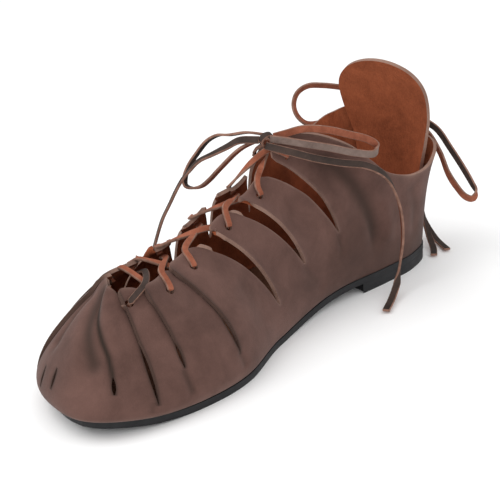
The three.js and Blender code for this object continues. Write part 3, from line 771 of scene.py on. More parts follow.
@dataclass
class Upper(Piece):
    """The leather upper: one sheet with its cuts, pleats, creases and lace holes."""

    last: Last = field(default_factory=Last)
    pitch: float = 1.45
    rows: int = 74
    wall: float = 2.0
    pleat_lift: float = 1.7
    pleat_sink: float = 0.7
    spread: float = 14.0
    shift_limit: float = 0.8
    opening_lift: float = 0.9
    opening_sink: float = 0.5
    slit_sink: float = 0.3
    edge_curl: float = 1.1
    slack: float = 0.35

    def holes(self) -> list[tuple[float, float]]:
        """Share round and share up of each lace hole."""
        found = []
        for rear, front, between in HOLES:
            share = self.last.seams[rear] + (self.last.seams[front] - self.last.seams[rear]) * between
            ups = np.arange(1, 0.5, -0.005)
            run = np.linalg.norm(self.last.wall(share, ups) - self.last.wall(share, 1.0), axis=-1)
            found.append((float(share), float(ups[np.argmax(run >= HOLE_INSET)])))
        return found

    def _columns(self) -> tuple[np.ndarray, np.ndarray]:
        """The share of each column of the grid, and for the two at a cut the cut's number, or -1."""
        shares: list[float] = []
        cuts: list[int] = []
        starts = [self.last.seams[cut.row] for cut in CUTS] + [1.0]
        for index in range(len(CUTS)):
            low, high = starts[index], starts[index + 1]
            count = max(5, round((high - low) * self.last.length / self.pitch))
            line = np.linspace(low, high, count)
            shares.extend(line)
            cuts.extend([index] + [-1] * (count - 2) + [(index + 1) % len(CUTS)])
        return np.array(shares), np.array(cuts)

    @staticmethod
    def _half_gap(cut: Cut, up: np.ndarray) -> np.ndarray:
        """Half the width of a cut on the way up, in millimetres, and 0 where it is closed.

        Args:
            cut: The cut.
            up: Shares of the way up the wall.

        Returns:
            Half widths; below 0 where two edges overlap.
        """
        share = np.clip((up - cut.start) / (1 - cut.start), 0, 1)
        lens = np.clip((up - cut.start) / (cut.close - cut.start), 0, 1)
        if cut.kind in (CutKind.OPENING, CutKind.NOTCH):
            return cut.width * (0.04 + 0.46 * share ** 0.8) * smooth(0, 0.04, share)
        return 0.5 * cut.width * np.sin(np.pi * np.clip(lens, 0, 1)) ** 0.75

    def _shape(self) -> tuple[bmesh.types.BMesh, np.ndarray, np.ndarray, np.ndarray, np.ndarray]:
        """Shapes the sheet.

        Returns:
            The bmesh, each vertex's column and row, the cut of each column, and each vertex's
            painted shade and rubbed wear values as the two rows of one array.
        """
        last = self.last
        base, cut_of = self._columns()
        mesh, column, row = grid_mesh(len(base), self.rows)
        up = row / (self.rows - 1)
        share = base[column].copy()
        lift = np.zeros(len(share))
        edge = np.full(len(share), 99.0)
        slit = np.full(len(share), 99.0)
        top_edge = np.full(len(base), 99.0)
        corner = np.zeros(len(base))
        starts = np.array([last.seams[cut.row] for cut in CUTS])
        for index, cut in enumerate(CUTS):
            here = starts[index]
            metric = last.metric(here, up)
            delta = base[column] - here
            delta = delta - np.rint(delta) if index == 0 else delta
            side = np.where(delta > 0, 1, -1)
            at_cut = cut_of[column] == index
            first = (cut_of == index) & (np.roll(cut_of, -1) == -1)
            side = np.where(at_cut, np.where(first[column], 1, -1), side)
            low = starts[index - 1] if index else starts[-1] - 1
            high = starts[index + 1] if index + 1 < len(CUTS) else 1.0
            near = (delta >= low - here - 1e-9) & (delta <= high - here + 1e-9)
            room = np.where(side > 0, high - here, here - low) * metric
            spread = np.minimum(self.spread, 0.46 * room)
            away = np.abs(delta) * metric
            fall = np.where(near, np.clip(1 - away / np.maximum(spread, 1e-6), 0, 1) ** 2, 0)
            half = self._half_gap(cut, up)
            power = np.clip(self.shift_limit * spread / np.maximum(half, 0.1), 1, 2)
            press = np.where(near, np.clip(1 - away / np.maximum(spread, 1e-6), 0, 1) ** power, 0)
            open_share = np.clip((up - cut.start) / (1 - cut.start), 0, 1)
            top = side == cut.over
            if cut.kind is CutKind.PLEAT:
                closed = smooth(cut.close - 0.02, min(cut.close + 0.2, 1.0), up)
                half = half - np.where(top, closed * np.minimum(cut.overlap, 0.3 * room), 0)
                rise = smooth(0.0, 0.45, open_share)
                wide = np.where(near, np.clip(1 - away / np.maximum(0.9 * room, 1e-6), 0, 1) ** 1.6, 0)
                lift += np.where(top, self.pleat_lift, 0) * rise * wide
                lift -= np.where(top, 0, self.pleat_sink) * rise * fall
            elif cut.kind is CutKind.SLIT:
                bulge = np.sin(np.pi * np.clip((up - cut.start) / (cut.close - cut.start), 0, 1))
                lift -= self.slit_sink * bulge * fall
            elif cut.kind is CutKind.OPENING:
                lean = np.where(top, self.opening_lift, -self.opening_sink)
                lift += lean * np.sin(np.pi * open_share) * fall
            share += side * half / metric * press
            inside = near & (up >= cut.start) & ((up <= cut.close) | (cut.kind is not CutKind.SLIT))
            edge = np.where(inside, np.minimum(edge, away), edge)
            if cut.kind in (CutKind.PLEAT, CutKind.SLIT):
                slit = np.where(inside, np.minimum(slit, away), slit)
            radius = CORNER_RADII.get(cut.kind, 0.0)
            at_top = row == self.rows - 1
            reach = np.maximum(away - np.maximum(half, 0) * (1 - press), 0)[at_top & near]
            which = column[at_top & near]
            closer = reach < top_edge[which]
            if radius:
                top_edge[which[closer]] = reach[closer]
                corner[which[closer]] = radius
        arc = np.sqrt(np.maximum(corner ** 2 - (corner - top_edge) ** 2, 0))
        dip = np.where(top_edge < corner, corner - arc, 0)
        tall = np.linalg.norm(last.wall(base, 1.0) - last.wall(base, 0.7), axis=-1) / 0.3
        risen = up * (1 - (dip / tall)[column] * smooth(0.6, 1.0, up))
        point = last.wall(share, risen)
        normal = last.wall_normal(share, risen)
        folds, shade = self._creases(point)
        ripple = np.sin(point[:, 0] / 9.0 + 1.3 * np.sin(point[:, 1] / 17.0))
        wave = self.slack * ripple * np.sin(point[:, 1] / 13.0 + 0.6)
        wave *= smooth(0.05, 0.3, up)
        curl = self.edge_curl * smooth(0.86, 1.0, up) * ((share > 0.22) & (share < 0.8))
        point = point + normal * (lift + folds + wave + curl)[:, None]
        point[:, 2] -= np.where(row == 0, last.sizes.gap * 0.9, 0)
        place_vertices(mesh, last.to_frame(point))
        # Painted shade beside the slits and pleats, where the petals overlap.
        slit_shade = np.exp(-slit / 0.9)
        rim = np.linalg.norm(last.wall(share, 1.0) - last.wall(share, risen), axis=-1)
        heel = 1 - smooth(0.14, 0.26, np.minimum(share % 1, 1 - share % 1))
        toe = smooth(0.30, 0.42, share) * smooth(0.30, 0.42, 1 - share)
        rubbed = np.maximum(0.55 * np.exp(-rim / 1.2), 0.4 * np.exp(-edge / 0.9) * (edge < slit))
        rubbed = np.maximum(rubbed, 0.5 * toe * (1 - smooth(0.01, 0.13, up)))
        # Painted shade low on the heel: darker towards the bottom.
        heel_low_shade = 0.42 * heel * (1 - smooth(0.0, 0.55, up))
        # All painted shade for the colour: crease shade, the low heel and the slit sides.
        trough = np.clip(np.maximum(np.maximum(shade, heel_low_shade), 0.72 * slit_shade), 0, 1)
        return mesh, column, row, cut_of, np.stack([trough, rubbed])

    def _creases(self, point: np.ndarray) -> tuple[np.ndarray, np.ndarray]:
        """Height and shade that the creases add at each point.

        Args:
            point: Places on the last.

        Returns:
            The heights in millimetres, and the shades from 0 to 1.
        """
        height = np.zeros(len(point))
        shade = np.zeros(len(point))
        for crease in CREASES:
            stops = np.array(crease.stops)
            line = self.last.wall(stops[:, 0], np.minimum(stops[:, 1], 1.0))
            line = along_pieces(through(line, False), np.linspace(0, 1, 24))
            near = np.full(len(point), 1e9)
            place = np.zeros(len(point))
            for i in range(len(line) - 1):
                step = line[i + 1] - line[i]
                t = np.clip((point - line[i]) @ step / (step @ step), 0, 1)
                gap = np.linalg.norm(point - line[i] - t[:, None] * step, axis=1)
                place = np.where(gap < near, (i + t) / (len(line) - 1), place)
                near = np.minimum(near, gap)
            fade = np.where(crease.stops[0][1] > 1, 1, smooth(0, 0.22, place)) * smooth(0, 0.22, 1 - place)
            bell = np.exp(-(near / crease.width) ** 2 * 2) * fade
            height += crease.depth * bell
            # Painted shade along the crease, for the colour.
            shade = np.maximum(shade, crease.shade * np.exp(-(near / crease.width) ** 2 * 4) * fade)
        return height, shade

    def build(self) -> bpy.types.Object:
        """Cuts the sheet at its cuts and holes and gives it its wall."""
        mesh, column, row, cut_of, values = self._shape()
        mesh.faces.ensure_lookup_table()
        # Vertex values of painted shade and of rubbed wear.
        trough = mesh.verts.layers.float.new("trough")
        rubbed = mesh.verts.layers.float.new("rubbed")
        for vertex, dark, pale in zip(mesh.verts, values[0], values[1]):
            vertex[trough] = dark
            vertex[rubbed] = pale
        up = row / (self.rows - 1)
        strips = []
        for face in mesh.faces:
            index = [v.index for v in face.verts]
            found = cut_of[column[index]]
            if np.all(found >= 0) and len(set(found)) == 1 and len(set(column[index])) == 2:
                cut = CUTS[found[0]]
                low = up[index].min()
                top = 1.0 if cut.kind is not CutKind.SLIT else cut.close
                if low >= cut.start - 1e-9 and low < top - 1e-9:
                    strips.append(face)
        bmesh.ops.delete(mesh, geom=strips, context="FACES")
        bmesh.ops.remove_doubles(mesh, verts=mesh.verts, dist=1e-6)
        self._punch(mesh)
        bmesh.ops.recalc_face_normals(mesh, faces=mesh.faces)
        middle = Vector(self.last.to_frame(np.array((0.0, 250.0, 20.0))))
        outer = max(mesh.faces, key=lambda face: -face.calc_center_median().y)
        if (outer.calc_center_median() - middle).dot(outer.normal) < 0:
            bmesh.ops.reverse_faces(mesh, faces=mesh.faces)
        return self.finish(mesh, (NUBUCK, FLESH, RAW_EDGE), wall=self.wall * MM)

    def _punch(self, mesh: bmesh.types.BMesh) -> None:
        """Punches the round lace holes."""
        for share, up in self.holes():
            centre = Vector(self.last.to_frame(self.last.wall(share, up)))
            normal = self.last.wall_normal(share, up) * np.array((1, -1, 1))
            normal = Vector(normal)
            radius = HOLE_RADIUS * MM
            gone = []
            for face in mesh.faces:
                away = face.calc_center_median() - centre
                if away.length < 3 * radius and (away - normal * away.dot(normal)).length < radius * 0.95:
                    gone.append(face)
            ring = {v for face in gone for v in face.verts}
            bmesh.ops.delete(mesh, geom=gone, context="FACES")
            for vertex in ring:
                if not vertex.is_valid:
                    continue
                away = vertex.co - centre
                flat = away - normal * away.dot(normal)
                vertex.co += flat.normalized() * radius - flat


@dataclass
class Sole:
    """Outsole, heel and insole."""

    last: Last
    columns: int = 41
    rows: int = 181

    def _plate(self, name: str, solid: str, slot: str, finish: Finish, end: float, hollow: float,
               inset: float, low: tuple[float, bool], high: tuple[float, bool],
               edge: float) -> bpy.types.Object:
        """One plate of the sole.

        Args:
            name: The piece's name.
            solid: The solid that it stands for.
            slot: The record's material slot.
            finish: Its finish.
            end: How far it reaches from the heel, in millimetres.
            hollow: How far its front edge is hollowed.
            inset: How far it stays inside the outline.
            low: Its underside: a height, and whether that is counted from the outsole's underside.
            high: The same for its top.
            edge: The round of its edges.

        Returns:
            The object.
        """
        last = self.last
        mesh, column, row = grid_mesh(self.columns, self.rows)
        across = column / (self.columns - 1)
        share = row / (self.rows - 1)
        whole = end >= last.sizes.sole_length
        eased = (1 - np.cos(np.pi * share)) / 2 if whole else 1 - np.cos(np.pi / 2 * share)
        first, final = inset, end - (inset if whole else 0)
        along = first + (final - first) * eased
        outer, inner = last.half_widths(np.clip(along, 0.02, last.sizes.sole_length - 0.02))
        squeeze = np.minimum(1.0, inset / np.maximum((inner - outer) / 2, 1e-6))
        middle = (inner + outer) / 2
        half = (inner - outer) / 2 * (1 - squeeze)
        sideways = middle + half * np.sin(np.pi / 2 * (2 * across - 1))
        along = along - hollow * (1 - (2 * across - 1) ** 2) * share ** 3

        def height(level: tuple[float, bool]) -> np.ndarray:
            """Heights of one of the plate's faces."""
            return level[0] + (last.sole_bottom(along) if level[1] else 0 * along)

        place_vertices(mesh, last.to_frame(np.stack([sideways, along, height(high)], axis=-1)))
        depth = (height(high) - height(low)) * MM
        layer = mesh.verts.layers.float.new("depth")
        for vertex, value in zip(mesh.verts, depth):
            vertex[layer] = value
        bmesh.ops.remove_doubles(mesh, verts=mesh.verts, dist=1e-6)
        made = bmesh.ops.extrude_face_region(mesh, geom=mesh.faces[:])
        for item in made["geom"]:
            if isinstance(item, bmesh.types.BMVert):
                item.co.z -= item[layer]
        bmesh.ops.recalc_face_normals(mesh, faces=mesh.faces)
        if edge:
            rims = [e for e in mesh.edges
                    if len(e.link_faces) == 2 and e.calc_face_angle(0) > math.radians(60)]
            bmesh.ops.bevel(mesh, geom=rims, offset=edge * MM, segments=2, profile=0.5, affect="EDGES",
                            material=-1, clamp_overlap=True)
        return Piece(name, (solid,), slot).finish(mesh, (finish,))

    def build(self) -> list[bpy.types.Object]:
        """Makes the three plates."""
        s = self.last.sizes
        breast = s.heel_breast * s.sole_length
        inset = s.feather_inset + s.wall + 2 * s.gap
        return [
            self._plate("outsole_rubber", "outsole", "sole_rubber", RUBBER, s.sole_length, 0, 0,
                        (0, True), (s.outsole, True), s.sole_edge),
            self._plate("heel_rubber", "heel", "sole_rubber", RUBBER, breast, s.heel_hollow * s.sole_length,
                        0.2, (0, False), (s.heel_lift, False), s.sole_edge),
            self._plate("insole_leather", "insole", "flesh_leather", INSOLE_FINISH, s.sole_length, 0, inset,
                        (s.outsole, True), (s.outsole + s.gap + s.insole, True), 0.5),
        ]


# The flap's rows: up, half its width, its place along at the middle, and how far its edges curl
# forward, as shares of its height and width.
FLAP_ROWS = (
    (0.00, 0.26, 0.032, 0.080), (0.20, 0.31, 0.028, 0.120), (0.42, 0.37, 0.032, 0.110),
    (0.56, 0.42, 0.046, 0.080), (0.70, 0.485, 0.074, 0.070), (0.82, 0.50, 0.108, 0.060),
    (0.92, 0.45, 0.145, 0.045), (0.97, 0.32, 0.170, 0.025), (1.00, 0.12, 0.186, 0.005),
)


@dataclass
class Flap(Piece):
    """The tall leather flap that stands inside the heel."""

    last: Last = field(default_factory=Last)
    height: float = 121.0
    width: float = 61.0
    thickness: float = 2.2
    shift: float = 2.0
    round_from: float = 0.80
    dome_power: float = 2.3
    columns: int = 49
    rows: int = 90

    def build(self) -> bpy.types.Object:
        """Shapes the flap, its rough flesh side towards the toe."""
        table = np.array(FLAP_ROWS)
        curve = along_pieces(through(table, False), np.linspace(0, 1, 400))
        mesh, column, row = grid_mesh(self.columns, self.rows)
        across = np.sin(np.pi / 2 * (2 * column / (self.columns - 1) - 1))
        dome = (1 - np.minimum(across ** 2, 1)) ** (1 / self.dome_power)
        up = row / (self.rows - 1) * (self.round_from + (1 - self.round_from) * dome)
        half = np.interp(np.minimum(up, self.round_from), curve[:, 0], curve[:, 1]) * self.width
        deep = np.interp(up, curve[:, 0], curve[:, 2]) * self.height
        curl = np.interp(up, curve[:, 0], curve[:, 3]) * self.width
        base = float(self.last.sole_top(np.array(0.0))) + self.last.sizes.insole + 2 * self.last.sizes.gap
        wave = 0.5 * np.sin(across * 3.1 + up * 5.0) * smooth(0.2, 0.8, up)
        x = self.shift + across * half
        d = deep + curl * across ** 2 + self.thickness + wave
        z = base + (self.height - base) * up
        place_vertices(mesh, self.last.to_frame(np.stack([x, d, z], axis=-1)))
        bmesh.ops.remove_doubles(mesh, verts=mesh.verts, dist=1e-6)
        bmesh.ops.recalc_face_normals(mesh, faces=mesh.faces)
        mesh.faces.ensure_lookup_table()
        if mesh.faces[len(mesh.faces) // 2].normal.y > 0:
            bmesh.ops.reverse_faces(mesh, faces=mesh.faces)
        return self.finish(mesh, (FLESH, NUBUCK, RAW_EDGE), wall=self.thickness * MM)


class Side(Enum):
    """Which face of a thong is turned out."""

    GRAIN = 1
    FLESH = -1


class Lie(Enum):
    """How a free stretch of thong turns its faces."""

    LOOP = "across the loop's own plane"
    UPRIGHT = "a loop that stands on its edge"
    END = "the grain faces away from the shoe"


@dataclass
class Thong(Piece):
    """A flat leather thong along a smooth line."""

    last: Last = field(default_factory=Last)
    width: float = 4.0
    thickness: float = 1.4
    step: float = 1.3
    grain: Finish = THONG_GRAIN

    def centreline(self, stops: np.ndarray) -> np.ndarray:
        """Even points along the smooth curve through the stops, in millimetres.

        Args:
            stops: Points that the thong runs through.

        Returns:
            Points a step apart.
        """
        fine = along_pieces(through(np.asarray(stops, float), False), np.linspace(0, 1, 60 * len(stops)))
        run = np.concatenate([[0], np.cumsum(np.linalg.norm(np.diff(fine, axis=0), axis=1))])
        count = max(8, round(run[-1] / self.step))
        marks = np.linspace(0, run[-1], count + 1)
        return np.stack([np.interp(marks, run, fine[:, k]) for k in range(3)], axis=-1)

    def section(self) -> list[tuple[float, float, int]]:
        """The thong's section: across, out and finish number of the face that follows each corner."""
        w, h, c = self.width / 2, self.thickness / 2, 0.25
        return [(-w + c, h, 0), (0, h, 0), (w - c, h, 2), (w, h - c, 2), (w, -h + c, 2), (w - c, -h, 1),
                (0, -h, 1), (-w + c, -h, 2), (-w, -h + c, 2), (-w, h - c, 2)]

    def strip(self, mesh: bmesh.types.BMesh, line: np.ndarray, out: np.ndarray) -> None:
        """Adds one thong to a mesh.

        Args:
            mesh: The bmesh that it goes into.
            line: Its centreline in millimetres.
            out: For each point, the way that its grain side faces.
        """
        tangent = unit(np.gradient(line, axis=0))
        out = unit(out - np.sum(out * tangent, axis=1, keepdims=True) * tangent)
        for _ in range(3):
            out[1:-1] = unit(out[:-2] + out[1:-1] + out[2:])
        sideways = np.cross(tangent, out)
        rings = []
        for k in range(len(line)):
            ring = []
            for a, b, _ in self.section():
                point = line[k] + sideways[k] * a + out[k] * b
                ring.append(mesh.verts.new(self.last.to_frame(point)))
            rings.append(ring)
        numbers = [corner[2] for corner in self.section()]
        count = len(numbers)
        for one, two in zip(rings, rings[1:]):
            for k in range(count):
                face = mesh.faces.new((one[k], two[k], two[(k + 1) % count], one[(k + 1) % count]))
                face.material_index = numbers[k]
        for ring in (rings[0], rings[-1]):
            cap = mesh.faces.new(ring)
            cap.material_index = 2

    def finished(self, mesh: bmesh.types.BMesh) -> bpy.types.Object:
        """Turns the thong's bmesh into its object."""
        bmesh.ops.recalc_face_normals(mesh, faces=mesh.faces)
        return self.finish(mesh, (self.grain, THONG_FLESH, THONG_EDGE))


@dataclass(frozen=True)
class Route:
    """A free stretch of the thong: its stops, length in metres, how it lies and its side turned out."""

    name: str
    stops: tuple[tuple[float, float, float], ...]
    length: float
    far_end: str
    lay: str
    lie: Lie
    side: Side = Side.GRAIN
    twist: float = 0.0


ROUTES = (
    Route("front_lace_loop_medial", (
        (3.9, 119.5, 100.1), (11, 118, 102.5), (18, 112.5, 104.5), (26, 103.5, 103), (32, 91, 98),
        (36.5, 80, 93),
        (39, 76, 89), (41, 81, 86.5), (38.5, 95, 90), (31, 109, 95.5), (21, 118, 98.5), (12, 122.5, 100),
        (4.4, 122.9, 99.7)), 0.133, "object", "loose", Lie.UPRIGHT),
    Route("front_lace_loop_lateral", (
        (-3.6, 119.8, 100.4), (-12, 123, 101), (-22, 126, 99), (-31, 126, 97.5), (-37, 128, 94),
        (-43, 130, 87),
        (-46.5, 134, 80), (-47.5, 137, 74), (-46.5, 138, 69.5), (-43.5, 136, 68), (-39, 134, 69),
        (-32, 134, 74),
        (-24, 132.5, 82), (-14, 127, 92.5),
        (-4.2, 122.3, 98)), 0.123, "object", "loose", Lie.LOOP, Side.FLESH),
    Route("front_lace_end_medial", (
        (2.2, 124.2, 95.9), (9, 127.2, 96.8), (18, 124, 95), (28, 115, 90.5), (36.5, 104, 86.5),
        (41, 91, 82.5),
        (43, 78, 75), (41.5, 66, 64), (41.5, 58, 47), (42, 57, 30), (43, 61, 18), (46, 69, 8),
        (50, 80, 3.4),
        (55, 93, 2.2)), 0.181, "bare", "hanging", Lie.END),
    Route("front_lace_end_lateral", (
        (-2, 125.4, 98.9), (-13, 128.5, 97.8), (-22, 129.5, 93), (-29, 134, 89), (-34, 139, 86),
        (-38, 142.5, 81),
        (-41, 146, 76), (-43.5, 149, 70), (-46, 152, 63), (-48.5, 156, 55), (-51.5, 159, 44),
        (-54, 161, 34),
        (-56.5, 161, 24), (-57.5, 160, 14), (-57, 158, 6)), 0.128, "bare", "hanging", Lie.END),
    Route("heel_lace_loop_lateral", (
        (-3.6, -5, 79.1), (-12, -8.5, 85), (-26, -8, 93), (-40, 2, 96), (-48, 10, 98), (-53, 19, 99),
        (-55, 27, 96), (-54, 32, 90), (-51, 33, 84), (-47, 30, 79), (-44, 20, 77), (-39, 7, 78),
        (-30, -4, 79.5),
        (-16, -8, 78), (-4.3, -5.2, 75.4)), 0.164, "object", "loose", Lie.LOOP, Side.GRAIN, 42.0),
    Route("heel_lace_loop_medial", (
        (3.9, -5, 78.7), (12, -8.8, 79), (22, -9.5, 75), (32, -9.5, 64), (41, -9, 53.5), (48, -8, 45),
        (52, -6, 41), (51, -3.5, 37.5), (47, -2, 38.5), (41, -2, 43.5), (35, -2, 51), (27.5, -4.5, 62.5),
        (15, -8.5, 72.5), (4.3, -5.2, 75.2)), 0.135, "object", "loose", Lie.UPRIGHT, Side.FLESH),
    Route("heel_lace_end_medial", (
        (1.6, -5.8, 72.7), (3.5, -8.5, 62), (6, -11, 44), (9, -11, 26), (14, -9.5, 12), (21, -4.5, 4.5),
        (27, 1.5, 2), (32, 9, 1.7)), 0.092, "bare", "hanging", Lie.END),
    Route("heel_lace_end_lateral", (
        (-1.8, -6, 72.9), (-3.5, -10.5, 62), (-1.5, -15.5, 42), (3, -17, 24), (9.5, -17, 10),
        (18, -13.5, 3.2),
        (26, -8.5, 1.8), (34, -3, 1.7)), 0.098, "bare", "hanging", Lie.END),
)


@dataclass(frozen=True)
class KnotPlan:
    """Where a knot sits and how large it is, in millimetres."""

    name: str
    at: tuple[float, float, float]
    size: tuple[float, float, float]


KNOTS = (
    KnotPlan("front_lace_knot", (0, 121.5, 98.5), (4.6, 4.2, 3.6)),
    KnotPlan("heel_lace_knot", (0, -4.6, 76.5), (4.2, 3.6, 4.0)),
)


@dataclass
class Lace:
    """The thongs: two bows, their knots and ends, and the crossings over the throat."""

    last: Last
    upper: Upper
    diameter: float = 4.0
    leads: tuple[float, ...] = (11.0, 6.0, 9.0, 11.0, 8.0)
    over_heights: tuple[float, float, float, float] = (-2.9, 1.1, 1.3, 1.5)
    under_depths: tuple[float, float, float] = (5.4, 5.0, 4.6)
    lacing_width: float = 3.3
    lacing_top: tuple[float, float, float] = (1.5, 121.5, 96.5)

    def bows(self) -> None:
        """Makes the knots, then each loop and end as a thong."""
        for plan in KNOTS:
            self._knot(plan)
        for route in ROUTES:
            # The front medial loop takes the lighter copy of the grain, which is painted sheen.
            grain = THONG_SHEEN if route.name == "front_lace_loop_medial" else THONG_GRAIN
            thong = Thong(route.name + "_thong", (route.name,), "thong", self.last, grain=grain)
            line = thong.centreline(np.array(route.stops))
            mesh = bmesh.new()
            thong.strip(mesh, line, self._facing(route, line))
            made = thong.finished(mesh)
            path = self.last.to_frame(line)

    @staticmethod
    def _facing(route: Route, line: np.ndarray) -> np.ndarray:
        """The way that the grain side of a loop or end faces.

        Args:
            route: The stretch's plan.
            line: Its centreline.

        Returns:
            One vector for each point of the line.
        """
        up = np.array((0.0, 0.0, 1.0))
        if route.lie is Lie.END:
            if route.name.startswith("heel"):
                out = np.broadcast_to(np.array((1.0, -0.2, 0.7)), line.shape)
            else:
                out = line - np.array((0.0, 100.0, 0.0))
                out = unit(np.where([True, True, False], out, 12.0))
            flat = 1 - smooth(4.0, 14.0, line[:, 2:])
            return out * (1 - flat) + up * flat
        spokes = line - line.mean(axis=0)
        axis = unit(np.cross(spokes[:-1], spokes[1:]).sum(axis=0))
        if route.lie is Lie.UPRIGHT:
            axis = up * np.sign(axis[2])
        turn = math.radians(route.twist)
        outward = unit(np.cross(np.gradient(line, axis=0), axis))
        return (outward * math.cos(turn) + axis * math.sin(turn)) * route.side.value

    def _knot(self, plan: KnotPlan) -> bpy.types.Object:
        """A knot: two turns of thong pulled tight over each other.

        Args:
            plan: The knot's place and size.

        Returns:
            The knot's object.
        """
        thong = Thong(plan.name + "_thong", (plan.name,), "thong", self.last, width=3.6, step=0.6)
        mesh = bmesh.new()
        at, size = np.array(plan.at), np.array(plan.size) - 0.7
        turn = np.linspace(0, 2 * np.pi, 40)
        for tilt, share in ((0.25, 1.0), (1.35, 0.86)):
            ring = np.stack([0 * turn, np.cos(turn), np.sin(turn)], axis=-1)
            ring[:, 0] = 0.35 * np.sin(turn)
            cos, sin = math.cos(tilt), math.sin(tilt)
            spin = np.array([[cos, -sin, 0], [sin, cos, 0], [0, 0, 1]])
            ring = ring @ spin.T * size * share
            thong.strip(mesh, at + ring[:-1], ring[:-1])
        return thong.finished(mesh)

    def crossings(self) -> bpy.types.Object:
        """Runs the thong through the lace holes and over the throat."""
        thong = Thong("front_lacing_thong", ("front_lace_crossings",), "thong", self.last,
                      width=self.lacing_width)
        holes = self.upper.holes()
        count = len(holes) // 2
        mesh = bmesh.new()
        for i in range(count - 1):
            facing = Side.GRAIN if i == 0 else Side.FLESH
            self._crossing(thong, mesh, holes[i], holes[count + i + 1], facing, -self.leads[i])
            self._crossing(thong, mesh, holes[count + i], holes[i + 1], Side.FLESH, 0.0)
        for hole, side in ((holes[count - 1], 1), (holes[-1], -1)):
            knot = np.array(self.lacing_top) * (side, 1, 1)
            line = thong.centreline(np.vstack([self._over(hole, 0.0), knot]))
            thong.strip(mesh, line, -np.broadcast_to(self.last.wall_normal(*hole), line.shape))
        return thong.finished(mesh)

    def _over(self, hole: tuple[float, float], lead: float) -> np.ndarray:
        """Stops from inside a hole, out of it and over the throat's edge.

        Args:
            hole: Its share round and share up.
            lead: How far the thong drifts round the foot, in millimetres, before the edge.

        Returns:
            The stops.
        """
        last = self.last
        share, up = hole
        turn = lead / last.metric(share, up)
        half = (share + turn / 2, (1 + up) / 2)
        edge = (share + turn, 1.0)
        point, normal = last.wall(share, up), last.wall_normal(share, up)
        inside, out, middle, top = self.over_heights
        return np.array([point + normal * inside, point + normal * out,
                         last.wall(*half) + last.wall_normal(*half) * middle,
                         last.wall(*edge) + last.wall_normal(*edge) * top])

    def _under(self, hole: tuple[float, float]) -> np.ndarray:
        """Stops from under the throat's edge to inside a hole.

        Args:
            hole: Its share round and share up.

        Returns:
            The stops.
        """
        last = self.last
        share, up = hole
        half = (1 + up) / 2
        return np.array([last.wall(share, place) - last.wall_normal(share, place) * depth
                         for place, depth in zip((1.0, half, up), self.under_depths)])

    def _crossing(self, thong: Thong, mesh: bmesh.types.BMesh, start: tuple[float, float],
                  end: tuple[float, float], facing: Side, lead: float) -> None:
        """One crossing, out of a hole on one side and under the edge of the other.

        Args:
            thong: The piece that it belongs to.
            mesh: The bmesh that it goes into.
            start: The hole that it comes out of.
            end: The hole that it goes under to.
            facing: The side turned out.
            lead: How far it drifts before the edge, in millimetres.
        """
        over, under = self._over(start, lead), self._under(end)
        line = thong.centreline(np.vstack([over, under]))
        leave = np.argmin(np.linalg.norm(line - over[-1], axis=1))
        enter = np.argmin(np.linalg.norm(line - under[0], axis=1))
        blend = smooth(float(leave), float(enter), np.arange(len(line))[:, None])
        out = self.last.wall_normal(*start) * (1 - blend) + self.last.wall_normal(end[0], 1.0) * blend
        thong.strip(mesh, line, out * facing.value)


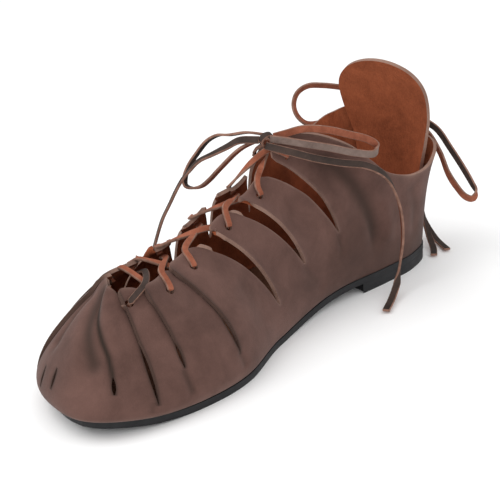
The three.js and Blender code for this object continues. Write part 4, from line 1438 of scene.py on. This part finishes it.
@dataclass(frozen=True)
class Studio:
    """Camera, floor and soft light."""

    camera_place: tuple[float, float, float] = (392.5, 573.0, 269.9)
    axis_turn: float = 0.56408
    axis_pitch: float = 20.9437
    photo_focal: float = 594.14
    photo_middle: float = 250.0
    shoe_middle: tuple[float, float] = (154.0, 257.0)
    enlarge: float = 1.97
    sensor: float = 36.0

    def build(self, last: Last) -> None:
        """Sets up camera, floor and lights.

        Args:
            last: The last, for the way into the frame.
        """
        self._camera(last)
        self._floor()
        self._lights()

    def _camera(self, last: Last) -> None:
        """The photograph's camera, turned to the shoe with a longer lens.

        Args:
            last: The last, for the way into the frame.
        """
        pitch = math.radians(self.axis_pitch)
        level = math.cos(pitch)
        axis = Vector((-math.sin(self.axis_turn) * level, math.cos(self.axis_turn) * level,
                       -math.sin(pitch)))
        turned = axis.to_track_quat("-Z", "Y")
        across = (self.shoe_middle[0] - self.photo_middle) / self.photo_focal
        down = (self.shoe_middle[1] - self.photo_middle) / self.photo_focal
        local = Vector((across, -down, -1.0)).normalized()
        swing = Vector((0, 0, -1)).rotation_difference(local)
        data = bpy.data.cameras.new("camera")
        data.sensor_width = self.sensor
        data.lens = self.photo_focal * self.enlarge / (2 * self.photo_middle) * self.sensor
        data.clip_start, data.clip_end = 0.01, 50.0
        camera = bpy.data.objects.new("camera", data)
        camera.location = Vector(last.to_frame(np.array(self.camera_place)))
        camera.rotation_mode = "QUATERNION"
        camera.rotation_quaternion = turned @ swing
        bpy.context.scene.collection.objects.link(camera)
        bpy.context.scene.camera = camera

    def _floor(self) -> None:
        """A plain pale floor that runs to the horizon."""
        mesh = bmesh.new()
        bmesh.ops.create_grid(mesh, x_segments=1, y_segments=1, size=8)
        data = bpy.data.meshes.new("floor")
        mesh.to_mesh(data)
        mesh.free()
        paint = bpy.data.materials.new("floor_paint")
        paint.use_nodes = True
        shader = paint.node_tree.nodes["Principled BSDF"]
        shader.inputs["Base Color"].default_value = (0.93, 0.93, 0.93, 1)
        shader.inputs["Roughness"].default_value = 0.9
        data.materials.append(paint)
        floor = bpy.data.objects.new("floor", data)
        bpy.context.scene.collection.objects.link(floor)

    def _lights(self) -> None:
        """A bright surround, a large soft key from above and a fill from the front."""
        scene = bpy.context.scene
        world = bpy.data.worlds.new("surround")
        world.use_nodes = True
        world.node_tree.nodes["Background"].inputs["Color"].default_value = (1, 1, 1, 1)
        world.node_tree.nodes["Background"].inputs["Strength"].default_value = 1.0
        scene.world = world
        scene.view_settings.view_transform = "Standard"
        plans = (("key", (-0.5, -0.7, 1.3), 1.1, 9.0), ("fill", (0.9, -0.9, 0.6), 0.9, 3.0))
        for name, place, size, power in plans:
            data = bpy.data.lights.new(name, "AREA")
            data.size = size
            data.energy = power
            light = bpy.data.objects.new(name, data)
            light.location = place
            light.rotation_mode = "QUATERNION"
            light.rotation_quaternion = (-Vector(place)).to_track_quat("-Z", "Y")
            scene.collection.objects.link(light)


def main() -> None:
    """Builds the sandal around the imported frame."""
    logging.basicConfig(level=logging.INFO, format="%(name)s %(message)s")
    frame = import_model()
    LOG.info("%d nodes in the frame", len(frame["nodes"]))
    low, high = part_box("front_lace_knot")
    knot = KNOTS[0].at
    middle = (low + high) / 2
    origin = Vector((middle.x - knot[0] * MM, middle.y + knot[1] * MM, middle.z - knot[2] * MM))
    last = Last(origin=origin)
    Studio().build(last)
    upper = Upper("upper_leather", ("upper",), "nubuck", last)
    lace = Lace(last, upper)
    lace.bows()
    lace.crossings()
    Sole(last).build()
    upper.build()
    Flap("heel_flap_leather", ("heel_flap",), "flesh_leather", last).build()
    LOG.info("done")


if __name__ == "__main__":
    main()
